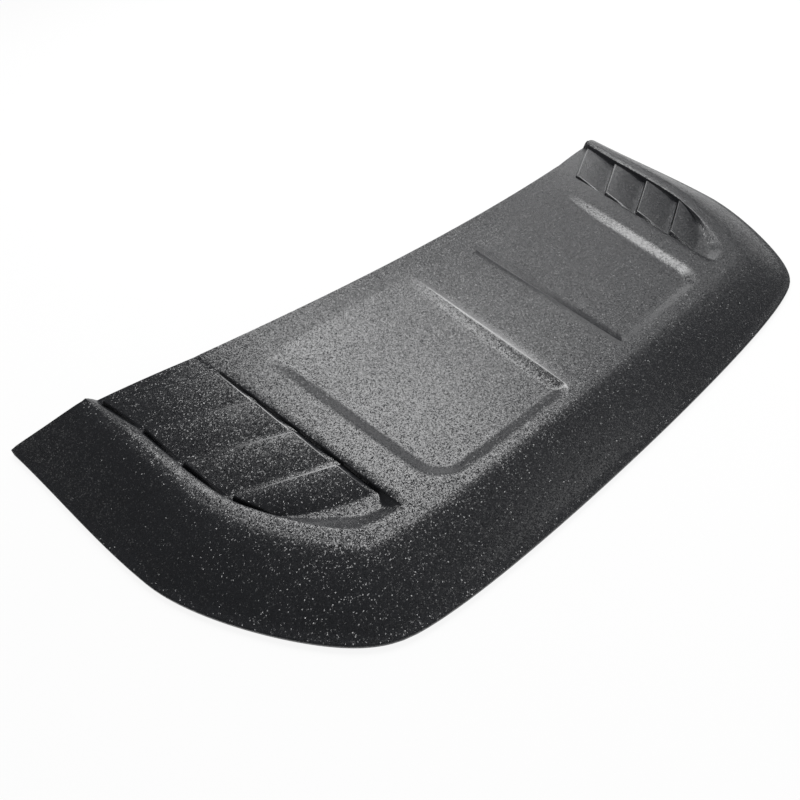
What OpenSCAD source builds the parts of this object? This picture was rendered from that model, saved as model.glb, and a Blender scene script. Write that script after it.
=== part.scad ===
// Bonnet scoop: one moulded plastic shell with a raised top, two recessed panels
// and a louvred vent on each side, on three lengths of rubber edge seal and
// three strips of foam mounting tape.
// X runs across the car, Y points back to the windscreen and Z points up.
// The seal's foot is the plane Z = 0, and the origin is under the middle of the part.

/* [Top surface] */
// Width across the two side crests, at the rear edge
top_w = 932; // [880:4:980]
// Depth from the rear end of a side crest to the front crease, on the centre line
top_d = 365; // [345:1:385]
// Height of the top at the middle of the rear edge
rear_h = 59.2; // [52:0.2:70]
// Height of the front crease on the centre line
front_h = 39.2; // [34:0.2:46]
// How far the rear edge bows forward at its middle
rear_bow = 52.5; // [40:0.5:64]
// Even crown: fall of the top 300 mm from the centre line, at the rear edge
crown_rear = 2.1; // [0:0.1:6]
// The same fall at the front crease
crown_front = 6.4; // [4:0.1:9]
// Extra fall of the shoulders there at the rear edge; it fades out to the front
shoulder_rear = 3.2; // [1:0.1:4]
// Thickness of the moulded wall
wall = 3; // [2.4:0.1:3.6]

/* [Crest line] */
// Run of the side crest back to where the front corner starts
side_run = 203; // [185:1:215]
// How far the side crest closes in over that run
side_in = 35.3; // [28:0.1:42]
// How far the front end of the corner lies inside the rear end of the crest
corner_in = 131; // [120:1:145]
// How far the front end of the corner lies behind the front crease
corner_back = 18.4; // [15:0.1:22]
// Slant of the crest at the start of the corner, in degrees
corner_slant = 13.9; // [10:0.1:17]
// Slant of the crest at the front end of the corner, in degrees
corner_bow = 14; // [10:0.1:17]

/* [Flank] */
// Width of the flank, from the crest to the rim
flank_w = 82; // [70:1:95]
// How far the rim's rear corner is swept back past square to the crest
rear_sweep = 49; // [40:1:58]
// Thickness of the rim at its edge
rim_t = 3.5; // [3:0.1:4.5]
// Cut across the rim's rear corner
rim_cut = 4; // [2:0.5:7]

/* [Rail] */
// Width of the rail between crest and vent, at the rear edge
rail_rear_w = 8; // [7:0.1:9]
// Width of the rail along the vent
rail_w = 15.5; // [13:0.1:17]
// Height of the rail above the top at the rear edge
rail_h = 9.5; // [6:0.1:12]
// Share of the rail's height that it has along the vent's edge
rail_in_share = 0.55; // [0.4:0.05:0.9]

/* [Vent] */
// Distance from the crest's rear end in to the vent's inner edge, at the rear edge
vent_w = 124.8; // [118:0.1:134]
// How far the vent's inner edge closes in for each millimetre forward
vent_splay = 0.149; // [0.12:0.001:0.17]
// Distance forward to the first louvre, at its inner end
louvre_in_y = 72.6; // [68:0.2:78]
// Distance forward to the first louvre, at its outer end
louvre_out_y = 11.5; // [10:0.1:14]
// Pitch of the louvres at their inner ends
louvre_in_pitch = 63; // [60:0.2:65]
// Pitch of the louvres at their outer ends
louvre_out_pitch = 69.3; // [66:0.1:71]
// Width of the floor in front of the foot of the first, second and third blade
strip_w = [5, 7, 9];
// Width of the floor in front of the last blade, at its inner end
last_floor_w = 12; // [8:0.5:15]
// How far the front of the last blade bows forward
last_bow = 5; // [0:0.5:6]
// Distance from the vent's outer edge to the first blade and to the third
blade_reach = [9, 5.5];
// Distance from the vent's outer edge to the front end of the last blade
last_reach = 8; // [7:0.5:9]
// Thickness of a louvre blade
blade_t = 2.6; // [2.2:0.1:3]
// How far the raised edge of a blade stands above the top
blade_proud = 2.4; // [1:0.1:3]
// Depth of the vent floor in front of the first, second, third and last louvre
floor_depths = [3.5, 4.2, 5, 6.5];
// How strongly a blade curves down to its foot; at 1 it is flat
blade_curve = 1.5; // [1:0.05:2]
// Width of the air slot behind a raised blade, seen from above
slot_w = 2; // [1.6:0.1:2.6]
// Width of the cheek that joins the outer end of a blade to the floor, seen from above
cheek_w = 3; // [2.4:0.1:3.4]
// Width of the cheek at the inner end of the first blade and of the last
cheek_in_w = [3, 7];
// Width of the vent's side walls, seen from above
vent_wall_w = 1.4; // [1.2:0.1:2]
// Width of the vent's sloped front wall, seen from above
vent_front_wall = 15; // [13:0.5:17]
// Depth of the sunk corner behind the first louvre
sunk_d = 2; // [1:0.1:3]

/* [Panels] */
// Half width of the spine between the panels
spine_hw = 52; // [46:0.5:58]
// Distance from the crest's rear end in to a panel's outer edge, at the rear edge
panel_w = 170.5; // [165:0.5:176]
// How far that edge closes in for each millimetre forward
panel_splay = 0.129; // [0.1:0.001:0.15]
// Depth of a panel at its front, beside the spine
panel_in_d = 4.8; // [4:0.1:5.6]
// Depth of a panel along its outer wall
panel_out_d = 6.3; // [5:0.1:7]
// Width of the front land between panel and crease
front_land = 10.5; // [8:0.5:14]
// Distance forward to where a panel starts to sink
panel_start = 88; // [80:1:96]
// Distance over which the panel's outer side sinks to its full depth
panel_out_run = 90; // [70:1:110]
// Width of a panel's inner wall, seen from above
panel_in_wall = 11.5; // [9:0.5:14]
// Width of a panel's outer wall, seen from above
panel_out_wall = 15.5; // [13:0.5:18]
// Width of a panel's front wall, seen from above
panel_front_wall = 15; // [12:0.5:17]
// Corner radius of a panel, outer front
panel_out_r = 35; // [30:1:40]
// Corner radius of a panel, inner front
panel_in_r = 13; // [12:1:17]
// Share of its depth that the inner wall has at its foot, where the soft fillet starts
foot_share = 0.88; // [0.8:0.01:1]

/* [Seal and tape] */
// Height of the edge seal under the rim
seal_h = 3; // [2.4:0.1:4]
// Width of the edge seal's body
seal_w = 3.2; // [2.6:0.1:3.4]
// How far the seal is set in from the rim's edge
seal_inset = 0.8; // [0.5:0.1:1]
// Height of the seal's narrower foot
seal_foot_h = 1.2; // [0.8:0.1:1.6]
// How much narrower the foot is, on each side
seal_foot_step = 0.7; // [0.5:0.1:0.9]
// Distance from the centre line to the joint between front and side seal
seal_joint_x = 302; // [280:1:315]
// Length of the gap at that joint
seal_gap = 18; // [10:1:24]
// Width of the mounting tape
tape_w = 3.2; // [2.6:0.1:3.4]
// Thickness of the mounting tape
tape_t = 2.2; // [1.6:0.1:2.4]
// Clearance between seal and tape
tape_gap = 0.6; // [0.4:0.1:0.8]

/* [Hidden] */

abs_black = "#26272a";
rubber_black = "#151515";
foam_grey = "#55575a";

// Distance from the centre line at which the crown's falls are given
crown_ref = 300;
// Lengths of the crest curves' handles, along their end directions
side_pull = 60;
turn_pulls = [52, 21];
front_pulls = [62, 100];
// Rough distance forward of the rear end of the vent's inner edge
vent_rear_ref = 40;

// Small helpers
function mix(a, b, t) = a + (b - a) * t;
function clamp01(t) = min(1, max(0, t));
function unit(v) = v / norm(v);
function bezier(p, t) =
    pow(1 - t, 3) * p[0] + 3 * t * pow(1 - t, 2) * p[1]
    + 3 * t * t * (1 - t) * p[2] + pow(t, 3) * p[3];
function bend(a, b, c, t) = mix(mix(a, b, t), mix(b, c, t), t);
function bezier_dir(p, t) =
    unit(pow(1 - t, 2) * (p[1] - p[0]) + 2 * t * (1 - t) * (p[2] - p[1])
         + t * t * (p[3] - p[2]));

// The half plan lies at x >= 0. y is 0 at the rear end of the crest and negative
// towards the front. plan_shift moves it to the part's own origin at the end.
function rear_y(x) =
    let (q = pow(2 * x / top_w, 2)) rear_bow * (0.67 * q + 0.33 * q * q - 1);

// Height of the smooth top, without panels, vents and rails
function top_z(x, y) =
    let (v = (-rear_bow - y) / (top_d - rear_bow), q = pow(x / crown_ref, 2))
    mix(rear_h, front_h, v) - mix(crown_rear, crown_front, v) * q
    - shoulder_rear * (1 - v) * q * q;

// The crest line: a side, a corner and a front, each one cubic curve.
// s runs from 0 at the rear edge to 3 on the centre line.
crest_a = [top_w / 2, 0];
crest_b = [top_w / 2 - side_in, -side_run];
crest_c = [top_w / 2 - corner_in, corner_back - top_d];
crest_d = [0, -top_d];
dir_b = [-sin(corner_slant), -cos(corner_slant)];
dir_c = [-cos(corner_bow), -sin(corner_bow)];
crest_side = [crest_a, crest_a + 0.35 * (crest_b - crest_a), crest_b - side_pull * dir_b, crest_b];
crest_turn = [crest_b, crest_b + turn_pulls[0] * dir_b, crest_c - turn_pulls[1] * dir_c, crest_c];
crest_front = [crest_c, crest_c + front_pulls[0] * dir_c, crest_d + [front_pulls[1], 0], crest_d];
function crest_part(s) = s < 1 ? crest_side : s < 2 ? crest_turn : crest_front;
function crest_t(s) = s < 1 ? s : s < 2 ? s - 1 : s - 2;
function crest(s) = bezier(crest_part(s), crest_t(s));
function crest_dir(s) = bezier_dir(crest_part(s), crest_t(s));
function crest_out(s) = let (d = crest_dir(s)) [-d[1], d[0]];

// Plan of the flank: q is 0 on the crest and 1 on the rim
function flank_xy(s, q) =
    crest(s) + crest_out(s) * flank_w * q
    - crest_dir(s) * rear_sweep * clamp01(1 - s) * pow(q, 1.25);

// Share of the flank's fall at each share of its width: a rounded crest,
// a straight slope and a slight flare at the rim
flank_rows = [[0.08, 0.035], [0.18, 0.115], [0.5, 0.445], [0.8, 0.8], [0.9, 0.925], [1, 1]];
land_row = 4;

// Rail height along the crest, fading out at the front corner
function rail_z(s) = rail_h * pow(cos(90 * clamp01(s / 1.8)), 2);
function crest_z(s) = let (p = crest(s)) top_z(p[0], p[1]) + rail_z(s);

// Edge of the vent on the rail's side
function vent_out(s) =
    crest(s) - crest_out(s) * mix(rail_rear_w, rail_w, clamp01(s / 0.35));
function vent_out_s(y, lo = 0, hi = 2, n = 20) =
    n == 0 ? (lo + hi) / 2
    : let (m = (lo + hi) / 2)
      vent_out(m)[1] > y ? vent_out_s(y, m, hi, n - 1) : vent_out_s(y, lo, m, n - 1);
function crest_s_at_x(x, lo = 2, hi = 3, n = 20) =
    n == 0 ? (lo + hi) / 2
    : let (m = (lo + hi) / 2)
      crest(m)[0] > x ? crest_s_at_x(x, m, hi, n - 1) : crest_s_at_x(x, lo, m, n - 1);

// Edge of the vent on the panel's side
function vent_in_x(y) = top_w / 2 - vent_w + vent_splay * y;

// Edges of a panel, and the share of its full depth at y beside each of its side walls
panel_front_y = front_land - top_d;
function front_y(x) = crest(crest_s_at_x(x))[1] + front_land;
function sink_in(y) =
    let (run = top_d - front_land - panel_front_wall - panel_start)
    1 - pow(1 - clamp01((-panel_start - y) / run), 3);
function sink_out(y) = 1 - pow(1 - clamp01((-panel_start - y) / panel_out_run), 2);
function panel_in_x(y) = spine_hw;
function panel_out_x(y) = top_w / 2 - panel_w + panel_splay * y;

// Columns of the surface grid, from the centre line out to the crest
C_SPINE = 1;
C_PIN_TOP = 2;
C_PIN_MID = 3;
C_PIN_FOOT = 4;
C_POUT_FOOT = 10;
C_POUT_MID = 11;
C_POUT_TOP = 12;
C_LAND = 13;
C_VIN_TOP = 14;
C_VIN_FOOT = 15;
C_BLADE_IN = 16;
C_BLADE_OUT = 20;
C_VOUT_FOOT = 21;
C_VOUT_TOP = 22;
C_RAIL = 23;
C_CREST = 24;

// Rows of the surface grid, from the rear edge to the front crease.
// Each louvre has five: raised edge, two on the blade, blade's foot, end of the floor.
R_RISER = 2;
R_LOUVRE = 3;
R_STEP = 5;
R_LAST = 18;
R_LAST_FOOT = 21;
R_FLOOR_END = 23;
R_WALL_MID = 24;
R_WALL_TOP = 25;
R_CREST = 28;

function louvre_of(j) = floor((j - R_LOUVRE) / R_STEP);
function louvre_row(j) = (j - R_LOUVRE) % R_STEP;

// Distance forward of a row along the vent's inner edge
function row_in_y(j) =
    j < R_LOUVRE
    ? let (a = rear_y(vent_in_x(-vent_rear_ref)), b = -louvre_in_y + slot_w)
      mix(a, b, j / R_RISER)
    : j <= R_LAST
      ? let (k = louvre_of(j), r = louvre_row(j), y = -louvre_in_y - louvre_in_pitch * k)
        r < 4 ? y - (louvre_in_pitch - slot_w - strip_w[min(k, 2)]) * r / 3
        : y - louvre_in_pitch + slot_w
      : let (a = -louvre_in_y - louvre_in_pitch * 3, b = front_corner_y + 0.3 * vent_corner)
        lookup(j, [[R_LAST, a], [R_LAST_FOOT, b + 1.1 * vent_front_wall + last_floor_w],
                   [R_FLOOR_END, b + 1.1 * vent_front_wall], [R_WALL_MID, b + 0.7 * vent_corner],
                   [R_WALL_TOP, b]]);

// Place on the crest line where the vent's front edge meets its inner corner
vent_corner = 6;
function front_corner_s(lo = 2, hi = 2.8, n = 20) =
    n == 0 ? (lo + hi) / 2
    : let (m = (lo + hi) / 2, p = vent_out(m))
      p[0] - vent_in_x(p[1]) > vent_corner ? front_corner_s(m, hi, n - 1)
      : front_corner_s(lo, m, n - 1);
s_front_corner = front_corner_s();
front_corner_y = vent_out(s_front_corner)[1];

// Place of a row along the vent's outer edge, as a place on the crest line
louvre_lift = 3.5;
s_last = vent_out_s(-louvre_out_y - louvre_out_pitch * 3 + louvre_lift);
function row_out_s(j) =
    j < R_LOUVRE
    ? mix(0, vent_out_s(-louvre_out_y + louvre_lift + slot_w), j / R_RISER)
    : j <= R_LAST
      ? let (k = louvre_of(j), r = louvre_row(j),
             y = louvre_lift - louvre_out_y - louvre_out_pitch * k)
        vent_out_s(r < 4 ? y - (louvre_out_pitch - slot_w - strip_w[min(k, 2)]) * r / 3
                   : y - louvre_out_pitch + slot_w)
      : lookup(j, [[R_LAST, s_last], [R_LAST_FOOT, 1.36], [R_FLOOR_END, 1.7],
                   [R_WALL_TOP, 1.9]]);
rows_in_y = [for (j = [0:R_WALL_TOP]) row_in_y(j)];
rows_out_s = [for (j = [0:R_WALL_TOP]) row_out_s(j)];

// Place of a row on the crest line: part way from the vent's rows to even spacing
s_corner = 1.95;
function even_s(j) = s_corner * j / R_CREST;
function row_crest_s(j) =
    j <= R_WALL_TOP
    ? mix(rows_out_s[j], even_s(j), 0.6)
    : mix(mix(rows_out_s[R_WALL_TOP], even_s(R_WALL_TOP), 0.6), s_corner,
          (j - R_WALL_TOP) / (R_CREST - R_WALL_TOP));

// Place of a column on the front of the crest line
s_front_vent = 2.05;
s_front_in = crest_s_at_x(vent_in_x(-top_d));
function col_crest_s(i) =
    i <= C_VIN_TOP ? crest_s_at_x(flat_x(i, -top_d))
    : i <= C_VOUT_TOP
      ? mix(s_front_in, s_front_vent, (i - C_VIN_TOP) / (C_VOUT_TOP - C_VIN_TOP))
      : mix(s_front_vent, s_corner, (i - C_VOUT_TOP) / (C_CREST - C_VOUT_TOP));

// Across the spine, a panel and the land, before the panel's corners are rounded
function flat_x(i, y) =
    let (a = panel_in_x(y), b = panel_out_x(y),
         foot_a = a + panel_in_wall * mix(0.65, 1, sink_in(y)),
         foot_b = b - panel_out_wall * mix(0.75, 1, sink_out(y)))
    i == 0 ? 0
    : i == C_SPINE ? a / 2
    : i <= C_PIN_FOOT ? mix(a, foot_a, (i - C_PIN_TOP) / 2)
    : i < C_POUT_FOOT
      ? mix(foot_a, foot_b, lookup(i, [[4, 0], [5, 0.06], [6, 0.3], [7, 0.58], [8, 0.82],
                                       [9, 0.93], [10, 1]]))
    : i <= C_POUT_TOP ? mix(foot_b, b, (i - C_POUT_FOOT) / 2)
    : i == C_LAND ? (b + vent_in_x(y)) / 2
    : vent_in_x(y);

// Row heights on the centre line, evenly spaced as far as the panel's front wall
function mid_y(j) =
    j <= R_FLOOR_END
    ? mix(-rear_bow, panel_front_y + panel_front_wall, j / R_FLOOR_END)
    : mix(panel_front_y + panel_front_wall, panel_front_y, (j - R_FLOOR_END) / 2);
function flat_y(i, j) =
    let (early = clamp01((i - C_PIN_FOOT) / (C_LAND - C_PIN_FOOT)),
         late = clamp01((i - C_POUT_TOP) / (C_VIN_TOP - C_POUT_TOP)),
         share = mix(early, late, clamp01((j - R_LAST) / (R_FLOOR_END - R_LAST))),
         bow = front_y(flat_x(i, panel_front_y)) - panel_front_y)
    mix(mid_y(j) + bow * j / R_WALL_TOP, rows_in_y[j], share);

// Turns a square grid corner into round rings about centre c; side is 1 or -1
function rounded(p, c, r, side) =
    let (a = side * (p[0] - c[0]) / r, b = (c[1] - p[1]) / r, big = max(a, b))
    a <= 0 || b <= 0 ? p
    : let (turn = 45 * min(a, b) / big,
           ring = a >= b ? [cos(turn), sin(turn)] : [sin(turn), cos(turn)],
           q = big <= 1 ? big * ring
               : [a, b] + (ring - [a, b] / big) * max(0, 1 - (big - 1) / 0.5))
      [c[0] + side * r * q[0], c[1] - r * q[1]];
panel_out_edge = panel_out_x(panel_front_y);
panel_out_c = [panel_out_edge - panel_out_r, front_y(panel_out_edge) + panel_out_r];
panel_in_c = [panel_in_x(panel_front_y) + panel_in_r, panel_front_y + panel_in_r];

// Plan of a grid node on the flat part of the top, up to the vent's inner edge
function flat_xy(i, j) =
    j == 0
    ? let (x = flat_x(i, -rear_bow)) [x, rear_y(x)]
    : let (y = flat_y(i, j), x = flat_x(i, y))
      rounded(rounded([x, y], panel_out_c, panel_out_r, 1), panel_in_c, panel_in_r, -1);

// Front edge of the vent, from its inner corner to its outer edge, and the wall's foot
function vent_front_xy(i) =
    let (t = (i - C_VIN_FOOT) / (C_VOUT_TOP - C_VIN_FOOT))
    i == C_VIN_TOP
    ? [vent_in_x(front_corner_y), front_corner_y] + 0.3 * vent_corner * [1, 1]
    : bend(vent_out(s_front_corner), vent_out(2), vent_out(rows_out_s[R_WALL_TOP]), t);
function set_in(s, w) = vent_out(s) - w * crest_out(s);
function floor_end_xy(i) =
    let (t = (i - C_VIN_FOOT) / (C_VOUT_FOOT - C_VIN_FOOT),
         a = vent_out(s_front_corner - 0.015) + vent_front_wall * unit([vent_splay, 1]))
    bend(a, set_in(2, vent_front_wall), set_in(rows_out_s[R_FLOOR_END], vent_front_wall), t);

// Plan of a grid node in the vent: straight rows from edge to edge up to the last blade
function vent_xy(i, j) =
    let (a = flat_xy(C_VIN_TOP, j), b = vent_out(rows_out_s[j]), e = unit(b - a),
         reach = j <= R_LAST
                 ? mix(blade_reach[0], blade_reach[1], clamp01(j / (R_LAST - R_STEP)))
                 : mix(blade_reach[1], last_reach, clamp01((j - R_LAST) / 3)),
         cheek_in = mix(cheek_in_w[0], cheek_in_w[1], clamp01((j - R_LOUVRE) / (R_LAST - R_LOUVRE))),
         blade_a = a + e * (vent_wall_w + cheek_in), blade_b = b - e * reach)
    i == C_VIN_TOP ? a
    : i == C_VOUT_TOP ? b
    : j == R_FLOOR_END ? floor_end_xy(i)
    : j == R_FLOOR_END - 1
      ? i == C_VOUT_FOOT ? set_in(rows_out_s[j], mix(last_reach - cheek_w, vent_front_wall, 0.4))
        : (vent_xy(i, j - 1) + floor_end_xy(i)) / 2
    : j == R_WALL_MID ? (floor_end_xy(i) + vent_front_xy(i)) / 2
    : i == C_VIN_FOOT ? a + e * vent_wall_w
    : i <= C_BLADE_OUT
      ? let (t = (i - C_BLADE_IN) / (C_BLADE_OUT - C_BLADE_IN))
        mix(blade_a, blade_b, t) + blade_bow(t, j) * [e[1], -e[0]]
    : b - e * (reach - cheek_w);
function blade_bow(t, j) = 4 * t * (1 - t) * last_bow * clamp01((j - R_LAST) / 3);

function inner_xy(i, j) =
    i <= C_VIN_TOP && j < R_WALL_TOP ? flat_xy(i, j)
    : i < C_VIN_TOP ? flat_xy(i, j)
    : j == R_WALL_TOP && i <= C_VOUT_TOP ? vent_front_xy(i)
    : i <= C_VOUT_TOP ? vent_xy(i, j)
    : let (b = vent_out(rows_out_s[j]), c = crest(row_crest_s(j)))
      mix(b, c, (i - C_VOUT_TOP) / (C_CREST - C_VOUT_TOP));

function node_xy(i, j) =
    j <= R_WALL_TOP ? inner_xy(i, j)
    : j == R_CREST ? crest(col_crest_s(i))
    : i == C_CREST ? crest(row_crest_s(j))
    : i == C_RAIL ? (node_xy(C_VOUT_TOP, j) + crest(row_crest_s(j))) / 2
    : mix(inner_xy(i, R_WALL_TOP), crest(col_crest_s(i)),
          (j - R_WALL_TOP) / (R_CREST - R_WALL_TOP));

// Depth of the vent's floor along each row
foot_depths = [[R_LOUVRE, floor_depths[0] - 1],
               [R_LOUVRE + 3, floor_depths[0]], [R_LOUVRE + 5, floor_depths[0]],
               [R_LOUVRE + 8, floor_depths[1]], [R_LOUVRE + 10, floor_depths[1]],
               [R_LOUVRE + 13, floor_depths[2]], [R_LOUVRE + 15, floor_depths[2]],
               [R_LAST_FOOT, floor_depths[3]], [R_FLOOR_END, floor_depths[3]],
               [R_WALL_TOP, 0]];
function is_blade(i, j) =
    i >= C_BLADE_IN && i <= C_BLADE_OUT && j >= R_LOUVRE && j < R_LAST_FOOT && louvre_row(j) < 3;

// Height of a grid node above the smooth top
function vent_rise(i, j) =
    i == C_VIN_TOP || j >= R_WALL_TOP ? 0
    : j < R_LOUVRE ? -sunk_d * lookup(i, [[C_VIN_TOP, 0], [C_BLADE_IN + 2, 1]])
    : is_blade(i, j)
      ? let (foot = j - louvre_row(j) + 3)
        mix(blade_proud, -lookup(foot, foot_depths), pow(louvre_row(j) / 3, blade_curve))
    : -lookup(j, foot_depths);
function panel_rise(i, j, y) =
    let (across = i <= C_PIN_FOOT + 1 ? lookup(i - C_PIN_TOP, [[0, 0], [2, foot_share], [3, 1]])
                  : (C_POUT_TOP - i) / 2,
         along = (R_WALL_TOP - j) / 2,
         t = clamp01((i - C_PIN_FOOT) / (C_POUT_FOOT - C_PIN_FOOT)))
    -mix(panel_in_d * sink_in(y), panel_out_d * sink_out(y), t)
    * min(clamp01(across), clamp01(along));
function node_rise(i, j, y) =
    i >= C_PIN_TOP && i <= C_POUT_TOP ? panel_rise(i, j, y)
    : i >= C_VIN_TOP && i < C_VOUT_TOP ? vent_rise(i, j)
    : i == C_VOUT_TOP && j <= R_WALL_TOP ? rail_in_share * rail_z(rows_out_s[j])
    : i >= C_RAIL ? rail_z(row_crest_s(j))
    : 0;

// Sideways shift of the lower surface that keeps the wall's thickness on a steep wall
function under_shift(i, j) =
    let (steep = 0.8 * wall, mild = 0.27 * wall,
         in_vent = j >= R_LOUVRE && i >= C_VIN_TOP && i <= C_VOUT_TOP && j <= R_WALL_TOP,
         in_panel = i >= C_PIN_TOP && i <= C_POUT_TOP && j <= R_WALL_TOP,
         out = crest_out(rows_out_s[min(j, R_WALL_TOP)]),
         side_v = j >= R_FLOOR_END ? [0, 0]
                  : i == C_VIN_TOP ? [-1, 0]
                  : i == C_VOUT_TOP ? out
                  : i == C_BLADE_IN && j <= R_LAST ? [0.6, 0]
                  : i == C_BLADE_OUT && j <= R_LAST ? -0.3 * out : [0, 0],
         front = j >= R_FLOOR_END ? [0, -0.5] : [0, 0],
         side_p = i <= C_PIN_FOOT ? [-1, 0] : i >= C_POUT_FOOT ? [1, 0] : [0, 0])
    in_vent ? steep * side_v : in_panel ? mild * (side_p + front) : [0, 0];

half_cols = C_CREST;
cols = 2 * half_cols;
turns = R_CREST + cols + R_CREST;
bands = len(flank_rows);
n_inner = (cols + 1) * (R_CREST + 1);
n_side = n_inner + (turns + 1) * bands;

// The half grid, worked out once: [x, y, z] of each top node and of the one below it
half_top = [for (i = [0:half_cols]) [for (j = [0:R_CREST])
    let (p = node_xy(i, j)) [p[0], p[1], top_z(p[0], p[1]) + node_rise(i, j, p[1])]]];
half_under = [for (i = [0:half_cols]) [for (j = [0:R_CREST])
    let (p = half_top[i][j], q = under_shift(i, j),
         t = is_blade(i, j) ? blade_t : wall)
    [p[0] + q[0], p[1] + q[1], p[2] - t]]];

// Along the crest line from the left rear, round the front, to the right rear
function turn_side(t) = t < turns / 2 ? -1 : 1;
function turn_index(t) = t <= turns / 2 ? t : turns - t;
function turn_node(t) =
    let (k = turn_index(t))
    k <= R_CREST ? [half_cols, k] : [half_cols - (k - R_CREST), R_CREST];
function turn_s(k) = k <= R_CREST ? row_crest_s(k) : col_crest_s(half_cols - (k - R_CREST));
half_s = [for (k = [0:turns / 2]) turn_s(k)];

rim_z = seal_h;
edge_z = rim_z + rim_t;
function flank_top(k, b) =
    let (s = half_s[k], q = flank_rows[b][0], fall = flank_rows[b][1],
         p = flank_xy(s, q) - (k == 0 && b == bands - 1 ? [rim_cut / 2, rim_cut] : [0, 0]),
         z = crest_z(s))
    [p[0], p[1], mix(z, edge_z, fall)];
half_flank_top = [for (k = [0:turns / 2]) [for (b = [0:bands - 1]) flank_top(k, b)]];
half_flank_under = [for (k = [0:turns / 2]) [for (b = [0:bands - 1])
    let (p = half_flank_top[k][b])
    [p[0], p[1], b >= land_row ? rim_z : p[2] - 1.12 * wall]]];

rear_end_y = max([for (p = half_flank_top[0]) p[1]]);
plan_shift = (top_d + flank_w - rear_end_y) / 2;
function placed(p, side) = [side * p[0], p[1] + plan_shift, p[2]];

function sheet_points(inner, flank) = concat(
    [for (i = [-half_cols:half_cols]) for (j = [0:R_CREST])
        placed(inner[abs(i)][j], i < 0 ? -1 : 1)],
    [for (t = [0:turns]) for (b = [0:bands - 1])
        placed(flank[turn_index(t)][b], turn_side(t))]);

// Node numbers in the list of points
function inner_id(i, j) = (i + half_cols) * (R_CREST + 1) + j;
function flank_id(t, b) =
    b < 0
    ? let (n = turn_node(t)) inner_id(turn_side(t) * n[0], n[1])
    : n_inner + t * bands + b;

// Cells that are left open: the air slots behind the second to the last blade
function is_slot(i, j) =
    let (c = i < 0 ? -i - 1 : i)
    j > R_LOUVRE && j < R_LAST && louvre_row(j) == 4 && c >= C_BLADE_IN && c < C_BLADE_OUT;

// Two triangles of a cell, split the same way on both halves, for a sheet that faces up
function cell_faces(a, b, c, d, flip) = flip ? [[a, b, d], [b, c, d]] : [[a, b, c], [a, c, d]];
function inner_cell(i, j) =
    cell_faces(inner_id(i, j), inner_id(i, j + 1), inner_id(i + 1, j + 1), inner_id(i + 1, j),
               i >= 0);
function flank_cell(t, b) =
    cell_faces(flank_id(t, b - 1), flank_id(t, b), flank_id(t + 1, b), flank_id(t + 1, b - 1),
               t < turns / 2);
open_cells = [for (i = [-half_cols:half_cols - 1]) for (j = [0:R_CREST - 1])
    if (is_slot(i, j)) [i, j]];
sheet_faces = concat(
    [for (i = [-half_cols:half_cols - 1]) for (j = [0:R_CREST - 1])
        if (!is_slot(i, j)) for (f = inner_cell(i, j)) f],
    [for (t = [0:turns - 1]) for (b = [0:bands - 1]) for (f = flank_cell(t, b)) f]);

// Edges where the sheet ends, each with the sheet on its right when seen from above
slot_edges = [for (c = open_cells)
    let (i = c[0], j = c[1])
    for (e = [[[i - 1, j], [i, j], [i, j + 1]], [[i + 1, j], [i + 1, j + 1], [i + 1, j]],
              [[i, j - 1], [i + 1, j], [i, j]], [[i, j + 1], [i, j + 1], [i + 1, j + 1]]])
        if (!is_slot(e[0][0], e[0][1]))
            [inner_id(e[1][0], e[1][1]), inner_id(e[2][0], e[2][1])]];
rear_edges = concat(
    [for (i = [-half_cols:half_cols - 1]) [inner_id(i, 0), inner_id(i + 1, 0)]],
    [for (b = [0:bands - 1]) [flank_id(0, b), flank_id(0, b - 1)]],
    [for (b = [0:bands - 1]) [flank_id(turns, b - 1), flank_id(turns, b)]]);
rim_edges = [for (t = [0:turns - 1]) [flank_id(t + 1, bands - 1), flank_id(t, bands - 1)]];

module scoop_shell() {
    color(abs_black)
    polyhedron(
        points = concat(sheet_points(half_top, half_flank_top),
                        sheet_points(half_under, half_flank_under)),
        faces = concat(
            [for (f = sheet_faces) [f[2], f[1], f[0]]],
            [for (f = sheet_faces) [f[0] + n_side, f[1] + n_side, f[2] + n_side]],
            [for (e = concat(slot_edges, rear_edges, rim_edges))
                for (f = [[e[1], e[0], e[0] + n_side], [e[1], e[0] + n_side, e[1] + n_side]])
                    f]),
        convexity = 12);
}

// A band along the rim between two insets, for crest places s0 to s1 on one side
band_steps = 44;
function rim_inset(s, inset) = flank_xy(s, 1 - inset / flank_w);
function half_band(s0, s1, inset) =
    [for (k = [0:band_steps]) rim_inset(mix(s0, s1, k / band_steps), inset)];
module side_band(s0, s1, near, far, z0, z1, side) {
    ring = concat(half_band(s0, s1, near), [for (k = [band_steps:-1:0])
        half_band(s0, s1, far)[k]]);
    translate([0, plan_shift, z0])
        linear_extrude(z1 - z0) polygon([for (p = ring) [side * p[0], p[1]]]);
}
module front_band(s0, near, far, z0, z1) {
    outer = half_band(s0, 3, near);
    inner = half_band(s0, 3, far);
    last = band_steps - 1;
    ring = concat(
        outer, [for (k = [last:-1:0]) [-outer[k][0], outer[k][1]]],
        [for (k = [0:last]) [-inner[k][0], inner[k][1]]], [for (k = [band_steps:-1:0]) inner[k]]);
    translate([0, plan_shift, z0]) linear_extrude(z1 - z0) polygon(ring);
}

// Where the seals and tapes start and stop along the crest line
s_rear_end = 0.06;
s_joint_side = crest_s_at_x(seal_joint_x + seal_gap / 2, 1.9, 3);
s_joint_front = crest_s_at_x(seal_joint_x - seal_gap / 2, 1.9, 3);
seal_far = seal_inset + seal_w;
tape_near = seal_far + tape_gap;

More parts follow.
